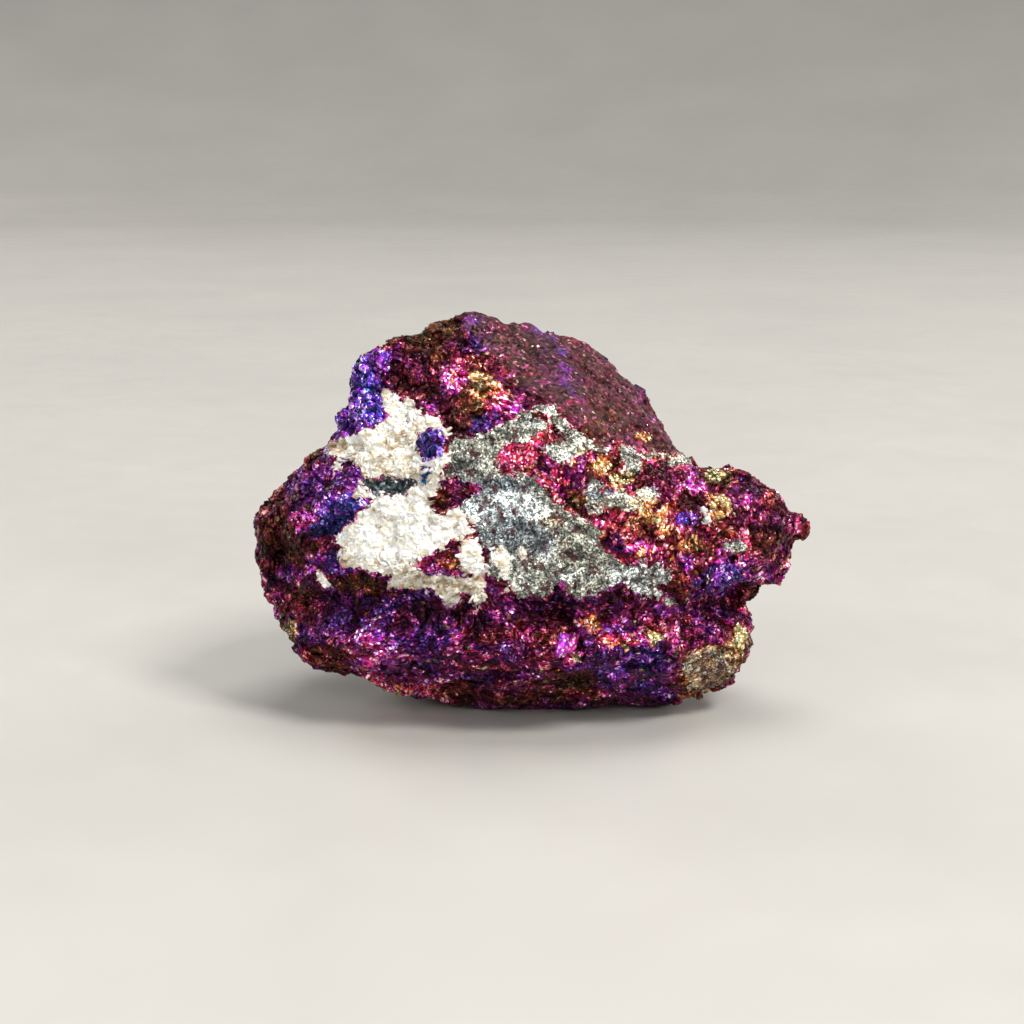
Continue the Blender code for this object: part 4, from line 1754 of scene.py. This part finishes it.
def spots_on(ground: Ground, count: int, seed: int) -> Spots:
    """Draws places spread evenly over the skin.

    Args:
        ground: the skin.
        count: how many places.
        seed: which draw.

    Returns:
        The places.
    """
    rng = np.random.default_rng(seed)
    surface = ground.surface
    corners = surface.points[surface.triangles]
    cross = np.cross(corners[:, 1] - corners[:, 0], corners[:, 2] - corners[:, 0])
    area = np.linalg.norm(cross, axis=1)
    chosen = rng.choice(len(area), count, p=area / area.sum())
    share = rng.random((count, 2))
    share = np.where(share.sum(axis=1, keepdims=True) > 1, 1 - share, share)
    share = np.column_stack((1 - share.sum(axis=1), share))
    around = surface.triangles[chosen]
    points = (surface.points[around] * share[:, :, None]).sum(axis=1)
    normals = surface.normals[around].sum(axis=1)
    normals /= np.linalg.norm(normals, axis=1, keepdims=True)
    marks = Marks(*((values[around] * share).sum(axis=1) for values in ground.marks))
    return Spots(points, normals, marks)


def axes_on(
    normals: np.ndarray, lean: float, rng: np.random.Generator, along: np.ndarray | None = None
) -> np.ndarray:
    """Stands grains on the skin, each turned and leaning at random.

    Args:
        normals: the skin's outward directions.
        lean: how far they lean.
        rng: the draw.
        along: the way each grain's length points, or None for any way.

    Returns:
        Three columns for each grain: its length, its width and its height.
    """
    up = normals + rng.normal(size=normals.shape) * lean
    up /= np.linalg.norm(up, axis=1, keepdims=True)
    way = rng.normal(size=normals.shape) if along is None else along
    wide = np.cross(up, way)
    wide /= np.linalg.norm(wide, axis=1, keepdims=True)
    return np.stack((np.cross(wide, up), wide, up), axis=2)


def lay_grains(
    name: str, form: Form, spots: Spots, axes: np.ndarray, sizes: np.ndarray, sink: float
) -> bpy.types.Object:
    """Copies one shape to many places as one mesh.

    Args:
        name: the piece's name.
        form: the shape.
        spots: where the copies lie, with their marks.
        axes: how they stand.
        sizes: their length, width and height in millimetres.
        sink: how deep they sit, as a share of their height.

    Returns:
        The piece.
    """
    scaled = axes * sizes[:, None, :]
    points = np.einsum("nij,vj->nvi", scaled, form.points)
    points = within_box(points + (spots.points - axes[:, :, 2] * sizes[:, 2:] * sink)[:, None, :])
    corners = len(form.points)
    triangles = form.triangles[None] + np.arange(len(points))[:, None, None] * corners
    thing = mesh_of(name, points.reshape(-1, 3), triangles.reshape(-1, 3))
    marks = {"tint": spots.marks.tint, "shine": spots.marks.shine}
    write_marks(thing.data, {mark: np.repeat(values, corners) for mark, values in marks.items()})
    return thing


def draw_sizes(
    count: int, middle: tuple[float, float, float], spread: float, rng: np.random.Generator
) -> np.ndarray:
    """Draws grain sizes.

    Args:
        count: how many.
        middle: usual length, width and height in millimetres.
        spread: how much they differ.
        rng: the draw.

    Returns:
        Three sizes for each grain.
    """
    whole = np.exp(rng.normal(size=(count, 1)) * spread)
    single = np.exp(rng.normal(size=(count, 3)) * spread * 0.5)
    return np.array(middle) * np.clip(whole * single, 0.4, 1.9)


@dataclass(kw_only=True)
class GrainField:
    """A field of small grains on the skin: one shape, copied many times as one mesh.

    Attributes:
        name: the piece's name.
        form: the grain's shape.
        count: the most grains that it has.
        middle: their usual length, width and height in millimetres.
        seed: which draw.
        draws: how many places are drawn for each grain.
        spread: how much the sizes differ.
        lean: how far the grains lean.
        sink: how deep they sit, as a share of their height.
        finish: their finish.
    """

    name: str
    form: Grain
    count: int
    middle: tuple[float, float, float]
    seed: int
    draws: int
    spread: float
    lean: float
    sink: float
    finish: Finish

    def kept(self, spots: Spots, rng: np.random.Generator) -> np.ndarray:
        """Chooses the places that get a grain."""
        raise NotImplementedError

    def look(self, spots: Spots, rng: np.random.Generator) -> Marks:
        """Gives each grain its colour and brightness."""
        raise NotImplementedError

    def along(self, spots: Spots, rng: np.random.Generator) -> np.ndarray | None:
        """Gives the way each grain's length points, or None for any way."""
        return None

    def stand(self, spots: Spots, rng: np.random.Generator) -> tuple[Marks, np.ndarray, np.ndarray]:
        """Draws how the grains look and stand.

        Args:
            spots: where they lie.
            rng: the draw.

        Returns:
            What they are, their sizes and their axes.
        """
        marks = self.look(spots, rng)
        sizes = draw_sizes(len(spots.points), self.middle, self.spread, rng)
        return marks, sizes, axes_on(spots.normals, self.lean, rng, self.along(spots, rng))

    def build(self, ground: Ground, bench: GrainBench) -> bpy.types.Object:
        """Builds the field and dresses it.

        Args:
            ground: the skin.
            bench: where the grain is modelled.

        Returns:
            The piece.
        """
        rng = np.random.default_rng(self.seed)
        form = bench.make(self.form)
        spots = spots_on(ground, self.count * self.draws, self.seed + 1)
        spots = spots.pick(np.flatnonzero(self.kept(spots, rng))[: self.count])
        marks, sizes, axes = self.stand(spots, rng)
        grains = lay_grains(self.name, form, spots._replace(marks=marks), axes, sizes, self.sink)
        ride_on_stone(grains, plain_material(self.name, self.finish))
        log.info("%s: %d grains of %d faces", self.name, len(spots.points), len(form.triangles))
        return grains


@dataclass(kw_only=True)
class TarnishFlakes(GrainField):
    """Thin plates of tarnished ore that lie along its grain on one side of the stone.

    Attributes:
        front: whether they lie on the side seen from the front.
        odd: share of flakes with a gold film of their own.
    """

    form: Grain = Grain.PLATE
    draws: int = 4
    spread: float = 0.35
    lean: float = 0.14
    sink: float = 0.08
    finish: Finish = TarnishFinish(grain_tilt=0.25, facet_tilt=0.1)
    front: bool = True
    odd: float = 0.045

    def kept(self, spots: Spots, rng: np.random.Generator) -> np.ndarray:
        """Keeps bare tarnished ore on the flakes' side, in uneven clouds and off the foot.

        Args:
            spots: the places drawn.
            rng: the draw.

        Returns:
            True for each place kept.
        """
        marks = spots.marks
        here = (STONE.front_share(spots.normals) > 0.5) == self.front
        bare = (marks.crust < -0.1) & (marks.plate < -0.12) & (marks.knob < 0.5)
        bare &= (marks.slate < 0.3) & (marks.dull < 0.5)
        thick = rise(clouds(spots.points, 3.0, self.seed), -0.5, 0.3)
        return here & bare & (rng.random(len(bare)) < thick) & (spots.points[:, 2] > 1.2)

    def look(self, spots: Spots, rng: np.random.Generator) -> Marks:
        """Gives each flake the film of its place, a little changed, or a gold one.

        Args:
            spots: where the flakes lie.
            rng: the draw.

        Returns:
            What they are.
        """
        here = spots.marks
        count = len(here.tint)
        odd = rng.random(count) < self.odd
        tint = np.where(odd, rng.random(count) * 0.24, here.tint + rng.normal(size=count) * 0.05)
        light = 0.6 + 1.1 * rng.random(count) ** 1.5
        return here._replace(
            tint=np.clip(tint, 0, np.maximum(0.86, here.tint)), shine=np.clip(here.shine * light, 0.03, 2.0)
        )

    def along(self, spots: Spots, rng: np.random.Generator) -> np.ndarray:
        """Points each flake along the ore's grain, a little off."""
        return sheaf_frames(spots.points)[:, 0] + rng.normal(size=(len(spots.points), 3)) * 0.2


@dataclass(kw_only=True)
class CrustBlades(GrainField):
    """The felt of calcite blades on the pale crust, laid in sheaves that overlap its ragged edge.

    Attributes:
        sheaf: width of a sheaf in millimetres.
        slope: the way the blades of the upper crust run down.
    """

    name: str = "crust_blades"
    form: Grain = Grain.BLADE
    count: int = 6500
    middle: tuple[float, float, float] = (1.05, 1.45, 1.6)
    seed: int = 31
    draws: int = 16
    spread: float = 0.42
    lean: float = 0.36
    sink: float = 0.3
    finish: Finish = CrustFinish(grain_tilt=0.2)
    sheaf: float = 1.5
    slope: tuple[float, float, float] = (-0.35, 0.0, -0.6)

    def kept(self, spots: Spots, rng: np.random.Generator) -> np.ndarray:
        """Keeps places inside the crust and a few just outside its edge.

        Args:
            spots: the places drawn.
            rng: the draw.

        Returns:
            True for each place kept.
        """
        crust = spots.marks.crust
        inside = rise(crust, -0.12, 0.25) * 0.9 + 0.1 * (crust > -0.15)
        return (rng.random(len(inside)) < inside) & (crust > -0.2)

    def look(self, spots: Spots, rng: np.random.Generator) -> Marks:
        """Gives each blade a cream or tan hue.

        Args:
            spots: where the blades lie.
            rng: the draw.

        Returns:
            What they are.
        """
        here = spots.marks
        tan = cells_at(spots.points, 1.2, 34).random[:, 0] ** 3 * 0.5
        return here._replace(
            tint=np.clip(here.tint * 0.9 + tan - 0.06 + rng.normal(size=len(tan)) * 0.08, 0, 1),
            shine=np.clip(here.shine * (0.88 + 0.2 * rng.random(len(tan))), 0, 1.05),
        )

    def along(self, spots: Spots, rng: np.random.Generator) -> np.ndarray:
        """Points the blades of a sheaf nearly one way, and down the slope on the upper crust.

        Args:
            spots: where the blades lie.
            rng: the draw.

        Returns:
            The way each blade's length points.
        """
        sheaves = cells_at(spots.points, self.sheaf, 33).random - 0.5
        upper = rise(-VIEW.seen(spots.points)[:, 1], -485.0, -465.0)
        return sheaves + rng.normal(size=sheaves.shape) * 0.16 + np.outer(upper, self.slope)

    def stand(self, spots: Spots, rng: np.random.Generator) -> tuple[Marks, np.ndarray, np.ndarray]:
        """Draws how the blades stand and then how they look.

        Args:
            spots: where they lie.
            rng: the draw.

        Returns:
            What they are, their sizes and their axes.
        """
        axes = axes_on(spots.normals, self.lean, rng, self.along(spots, rng))
        sizes = draw_sizes(len(spots.points), self.middle, self.spread, rng)
        return self.look(spots, rng), sizes, axes


@dataclass(kw_only=True)
class PlateCrumbs(GrainField):
    """The loose mass of grey and white crumbs on the sulphide plate."""

    name: str = "plate_crumbs"
    form: Grain = Grain.CRUMB
    count: int = 19000
    middle: tuple[float, float, float] = (0.34, 0.29, 0.31)
    seed: int = 41
    draws: int = 9
    spread: float = 0.3
    lean: float = 0.6
    sink: float = 0.2
    finish: Finish = PlateFinish(grain_tilt=0.3)

    def kept(self, spots: Spots, rng: np.random.Generator) -> np.ndarray:
        """Keeps places on the plate, fewer towards its edge."""
        inside = rise(spots.marks.plate, -0.35, 0.2) * (spots.marks.crust < 0.05)
        return rng.random(len(inside)) < inside

    def look(self, spots: Spots, rng: np.random.Generator) -> Marks:
        """Gives each crumb a brightness of its own."""
        light = 0.45 + 1.1 * rng.random(len(spots.points)) ** 1.6
        return spots.marks._replace(shine=np.clip(spots.marks.shine * light, 0.05, 1.4))


@dataclass(kw_only=True)
class KnobBeads(GrainField):
    """The rounded blue and violet grains of the left knob and of the spot in the crust."""

    name: str = "knob_beads"
    form: Grain = Grain.BEAD
    count: int = 760
    middle: tuple[float, float, float] = (0.80, 0.74, 0.66)
    seed: int = 51
    draws: int = 60
    spread: float = 0.35
    lean: float = 0.5
    sink: float = 0.1
    finish: Finish = TarnishFinish(
        grain_tilt=0.2, facet_tilt=0.1, cloud=0.12, light=(0.6, 2.2), rough=(0.22, 0.40)
    )

    def kept(self, spots: Spots, rng: np.random.Generator) -> np.ndarray:
        """Keeps places on the knob and the spot."""
        return (spots.marks.knob > 0.6) & (spots.marks.crust < 0)

    def look(self, spots: Spots, rng: np.random.Generator) -> Marks:
        """Gives each bead a violet or blue film, and a brightness that differs at random, with a few bright
        ones as painted highlight.

        Args:
            spots: where the beads lie.
            rng: the draw.

        Returns:
            What they are.
        """
        # A few beads get a shine far above the rest as painted highlight.
        here = spots.marks
        count = len(here.tint)
        return here._replace(
            tint=np.clip(here.tint * 0.5 + 0.35 + rng.normal(size=count) * 0.035, 0.62, 0.84),
            shine=np.clip(0.14 + 1.6 * rng.random(count) ** 2.0, 0.1, 1.7),
        )


class Cluster(NamedTuple):
    """A few larger grains at one place of the front view.

    Attributes:
        name: what they are.
        at: where their middle is seen.
        reach: half width and half height of the place, in pixels.
        count: how many grains.
        form: their shape.
        size: their length, width and height in millimetres.
        turn: the way their length points in the view, in degrees from across, clockwise, or None for any way.
        tint: their colour.
        shine: their brightness; above 1 it is painted highlight.
    """

    name: str
    at: tuple[float, float]
    reach: tuple[float, float]
    count: int
    form: Grain
    size: tuple[float, float, float]
    turn: float | None
    tint: Tint
    shine: float


# The two pink facets carry painted highlight in their shine of 2.3 and 2.6, as do the other clusters with a
# shine above 1.
CLUSTERS = (
    Cluster(
        "left pink facet", (560, 650), (0.5, 0.5), 1, Grain.PLATE, (3.3, 1.9, 3.0), 104, Tint.PURPLE, 2.6
    ),
    Cluster(
        "right pink facet", (570, 649), (0.5, 0.5), 1, Grain.PLATE, (3.1, 1.7, 3.0), 108, Tint.MAGENTA, 2.3
    ),
    Cluster("pyrite corner", (740, 635), (4, 10), 22, Grain.CUBE, (0.7, 0.6, 0.6), None, Tint.YELLOW, 1.0),
    Cluster("pyrite edge", (733, 658), (5, 10), 14, Grain.CUBE, (0.5, 0.5, 0.5), None, Tint.GOLD, 0.8),
    Cluster("yellow knob", (716, 476), (13, 5), 40, Grain.CUBE, (0.6, 0.55, 0.55), None, Tint.YELLOW, 0.8),
    Cluster("yellow bit", (620, 478), (9, 6), 22, Grain.CUBE, (0.5, 0.5, 0.45), None, Tint.YELLOW, 0.9),
    Cluster("gold ridge", (602, 466), (9, 7), 24, Grain.CUBE, (0.6, 0.5, 0.45), None, Tint.GOLD, 1.1),
    Cluster("gold high", (652, 511), (10, 10), 30, Grain.PLATE, (0.9, 0.7, 0.9), None, Tint.GOLD, 1.1),
    Cluster("gold patch", (721, 506), (10, 10), 36, Grain.PLATE, (0.9, 0.7, 0.9), None, Tint.GOLD, 1.1),
    Cluster("violet blue", (688, 517), (8, 6), 18, Grain.PLATE, (0.9, 0.7, 0.9), None, Tint.INDIGO, 1.1),
    Cluster("violet spot", (687, 564), (6, 5), 14, Grain.PLATE, (0.8, 0.6, 0.9), None, Tint.PURPLE, 1.2),
    Cluster("tip lights", (794, 524), (6, 8), 18, Grain.PLATE, (0.8, 0.6, 0.8), None, Tint.MAGENTA, 1.2),
    Cluster("boss lights", (453, 378), (10, 13), 44, Grain.PLATE, (0.8, 0.6, 0.9), None, Tint.MAGENTA, 1.0),
    Cluster("pink stripes", (302, 518), (11, 7), 24, Grain.PLATE, (1.2, 0.5, 0.8), 25, Tint.MAGENTA, 1.2),
    Cluster("field red", (556, 480), (9, 6), 22, Grain.PLATE, (0.8, 0.6, 0.9), None, Tint.CRIMSON, 1.2),
    Cluster("blob lights", (516, 457), (14, 9), 40, Grain.PLATE, (0.7, 0.5, 0.8), None, Tint.CRIMSON, 1.1),
    Cluster("foot grains", (395, 689), (38, 6), 34, Grain.CUBE, (0.45, 0.4, 0.4), None, Tint.GOLD, 0.9),
    Cluster("slope gold", (646, 437), (8, 4), 16, Grain.CUBE, (0.5, 0.45, 0.4), None, Tint.GOLD, 1.0),
)


# Halfway between the view and the key light, where a single facet leans so that it flashes
FLASH = np.array((0.7, -1.97, 1.37))


@dataclass
class PlacedGrains:
    """The larger crystals that stand out singly: pyrite grains, gold and pink facets."""

    clusters: tuple[Cluster, ...] = CLUSTERS
    seed: int = 71
    spread: float = 0.25
    lean: float = 0.2
    single_lift: float = 0.5
    finish: Finish = TarnishFinish(
        grain_tilt=0.12,
        facet_tilt=0.08,
        cloud=0.12,
        drift=0.10,
        light=(0.75, 1.5),
        spread=(0.9, 1.1),
        rough=(0.20, 0.38),
    )

    def build(self, ground: Ground, bench: GrainBench) -> bpy.types.Object:
        """Builds the crystals as one piece and dresses them.

        Args:
            ground: the skin.
            bench: where their shapes are modelled.

        Returns:
            The piece.
        """
        rng = np.random.default_rng(self.seed)
        forms = {kind: bench.make(kind) for kind in dict.fromkeys(cluster.form for cluster in self.clusters)}
        surface, marks = ground
        facing = np.flatnonzero(surface.normals @ VIEW.back > 0.0)
        near = Spots(surface.points, surface.normals, marks).pick(facing)
        parts = [self.lay(cluster, forms[cluster.form], near, rng) for cluster in self.clusters]
        select_only(parts[0])
        for part in parts:
            part.select_set(True)
        bpy.ops.object.join()
        grains = parts[0]
        grains.name = grains.data.name = "crystals"
        ride_on_stone(grains, plain_material("crystals", self.finish))
        log.info("crystals: %d faces", len(grains.data.polygons))
        return grains

    def lay(self, cluster: Cluster, form: Form, near: Spots, rng: np.random.Generator) -> bpy.types.Object:
        """Lays one cluster.

        Args:
            cluster: the cluster.
            form: its shape.
            near: the places of the skin that face the view.
            rng: the draw.

        Returns:
            The cluster as an object.
        """
        away = (((VIEW.seen(near.points) - np.array(cluster.at)) / np.array(cluster.reach)) ** 2).sum(axis=1)
        inside = max(cluster.count * 3, int((away < 1).sum())) if cluster.count > 1 else 1
        spots = near.pick(rng.choice(np.argsort(away)[:inside], cluster.count, replace=False))
        light = cluster.shine * (0.55 + 0.6 * rng.random(cluster.count))
        tint = np.clip(cluster.tint.value + rng.normal(size=cluster.count) * 0.035, 0, 1)
        spots = spots._replace(marks=spots.marks._replace(tint=tint, shine=light))
        along = None
        if cluster.turn is not None:
            turn = math.radians(cluster.turn)
            way = np.array((math.cos(turn), 0.0, 0.0)) - VIEW.up * math.sin(turn)
            along = np.tile(way, (cluster.count, 1))
        if cluster.count == 1:
            axes = axes_on(spots.normals + FLASH, 0.0, rng, along)
            return lay_grains(cluster.name, form, spots, axes, np.array((cluster.size,)), -self.single_lift)
        sizes = draw_sizes(cluster.count, cluster.size, self.spread, rng)
        axes = axes_on(spots.normals, self.lean, rng, along)
        return lay_grains(cluster.name, form, spots, axes, sizes, 0.0)


# Studio


@dataclass(frozen=True)
class Softbox:
    """A square soft light.

    Attributes:
        name: what it is.
        at: where it stands, in metres.
        size: its side in metres.
        glow: its brightness.
        colour: its colour.
    """

    name: str
    at: tuple[float, float, float]
    size: float
    glow: float
    colour: tuple[float, float, float] = (1.0, 1.0, 1.0)


@dataclass
class Studio:
    """A round pale cove, soft lights all round and the camera."""

    floor_reach: float = 0.9
    wall_reach: float = 1.5
    wall_height: float = 1.1
    aim: tuple[float, float, float] = (0.0, 0.0, 0.025)
    boxes: tuple[Softbox, ...] = (
        Softbox("key", (0.48, -0.42, 0.74), 0.27, 37.0, (1.0, 0.98, 0.95)),
        Softbox("left", (-0.85, -0.48, 0.50), 0.45, 3.6, (0.94, 0.97, 1.0)),
        Softbox("front", (-0.16, -0.95, 0.62), 0.40, 5.0),
        Softbox("low", (0.34, -0.78, 0.34), 0.24, 5.5),
        Softbox("top", (0.08, 0.20, 1.05), 0.55, 7.0),
        Softbox("back_left", (-0.65, 0.72, 0.56), 0.42, 6.5, (1.0, 0.98, 0.96)),
        Softbox("back_right", (0.68, 0.65, 0.50), 0.42, 5.0),
    )

    def floor(self) -> bpy.types.Object:
        """Builds the cove: a round floor that curves up into a low wall.

        Returns:
            The floor.
        """
        bpy.ops.object.select_all(action="DESELECT")
        bpy.ops.mesh.primitive_circle_add(vertices=96, radius=self.floor_reach, fill_type="NGON")
        floor = bpy.context.object
        floor.name = floor.data.name = "studio_floor"
        bpy.ops.object.mode_set(mode="EDIT")
        bpy.ops.mesh.select_all(action="DESELECT")
        bpy.ops.mesh.select_mode(type="EDGE")
        bpy.ops.mesh.select_all(action="SELECT")
        steps, reach, height = 8, self.floor_reach, 0.0
        for step in range(1, steps + 1):
            turn = step / steps * math.pi / 2
            new_reach = self.floor_reach + (self.wall_reach - self.floor_reach) * math.sin(turn)
            new_height = (self.wall_reach - self.floor_reach) * (1 - math.cos(turn))
            self.extrude_rim(new_reach / reach, new_height - height)
            reach, height = new_reach, new_height
        self.extrude_rim(1.0, self.wall_height - height)
        bpy.ops.object.mode_set(mode="OBJECT")
        bpy.ops.object.shade_smooth()
        floor.data.materials.append(self.floor_material())
        return floor

    def extrude_rim(self, widen: float, lift: float) -> None:
        """Extrudes the cove's rim outwards and upwards."""
        bpy.ops.mesh.extrude_edges_move(TRANSFORM_OT_translate={"value": (0, 0, lift)})
        bpy.ops.transform.resize(value=(widen, widen, 1), center_override=(0, 0, 0))

    def floor_material(self) -> bpy.types.Material:
        """Makes the pale satin floor.

        Returns:
            The material.
        """
        board = Board("studio_floor")
        tone = board.stretch(board.noise(60.0, 3.0), (0.3, 0.7), (0.0, 1.0))
        colour = board.blend(tone, (0.45, 0.435, 0.405, 1), (0.48, 0.465, 0.43, 1))
        rough = board.stretch(board.noise(9.0, 4.0), (0.3, 0.7), (0.34, 0.42))
        return dress_shader(board, Coat(colour, 0.0, rough, None))

    def lights(self) -> None:
        """Places the soft lights."""
        for box in self.boxes:
            lamp = bpy.data.lights.new(f"light_{box.name}", "AREA")
            lamp.size = box.size
            lamp.energy = box.glow * math.pi * box.size**2
            lamp.color = box.colour
            thing = bpy.data.objects.new(lamp.name, lamp)
            bpy.context.scene.collection.objects.link(thing)
            thing.location = box.at
            aim = Vector(self.aim) - Vector(box.at)
            thing.rotation_euler = aim.to_track_quat("-Z", "Y").to_euler()
            thing.visible_camera = False
        world = bpy.data.worlds.new("studio")
        bpy.context.scene.world = world
        world.use_nodes = True
        sky = world.node_tree.nodes["Background"]
        sky.inputs["Color"].default_value = (0.80, 0.82, 0.86, 1)
        sky.inputs["Strength"].default_value = 0.25

    def camera(self) -> None:
        """Places the camera at the front view."""
        data = bpy.data.cameras.new("camera")
        data.lens = VIEW.lens
        data.sensor_width = VIEW.sensor
        data.clip_start = 0.01
        thing = bpy.data.objects.new("camera", data)
        bpy.context.scene.collection.objects.link(thing)
        thing.location = Vector(VIEW.eye * MM)
        thing.rotation_euler = Vector(-VIEW.back).to_track_quat("-Z", "Y").to_euler()
        bpy.context.scene.camera = thing
        bpy.context.scene.view_settings.view_transform = "Standard"


def build_all() -> None:
    """Builds the stone's pieces in order, then the studio, and reports each."""
    logging.basicConfig(level=logging.INFO, format="%(message)s")
    maker = OreSkin()
    skin = maker.build()
    ground = maker.dress(skin)
    log.info("ore_skin: %d triangles", len(ground.surface.triangles))
    bench = GrainBench()
    for field in (
        TarnishFlakes(name="flakes_front", count=9500, middle=(0.80, 0.48, 0.60), seed=81),
        TarnishFlakes(name="flakes_back", count=10500, middle=(0.95, 0.55, 0.60), seed=91, front=False),
        CrustBlades(),
        PlateCrumbs(),
        KnobBeads(),
        PlacedGrains(),
    ):
        field.build(ground, bench)
    studio = Studio()
    studio.floor()
    studio.lights()
    studio.camera()
    log.info("studio: floor, %d lights, camera", len(studio.boxes))


if __name__ == "__main__":
    build_all()
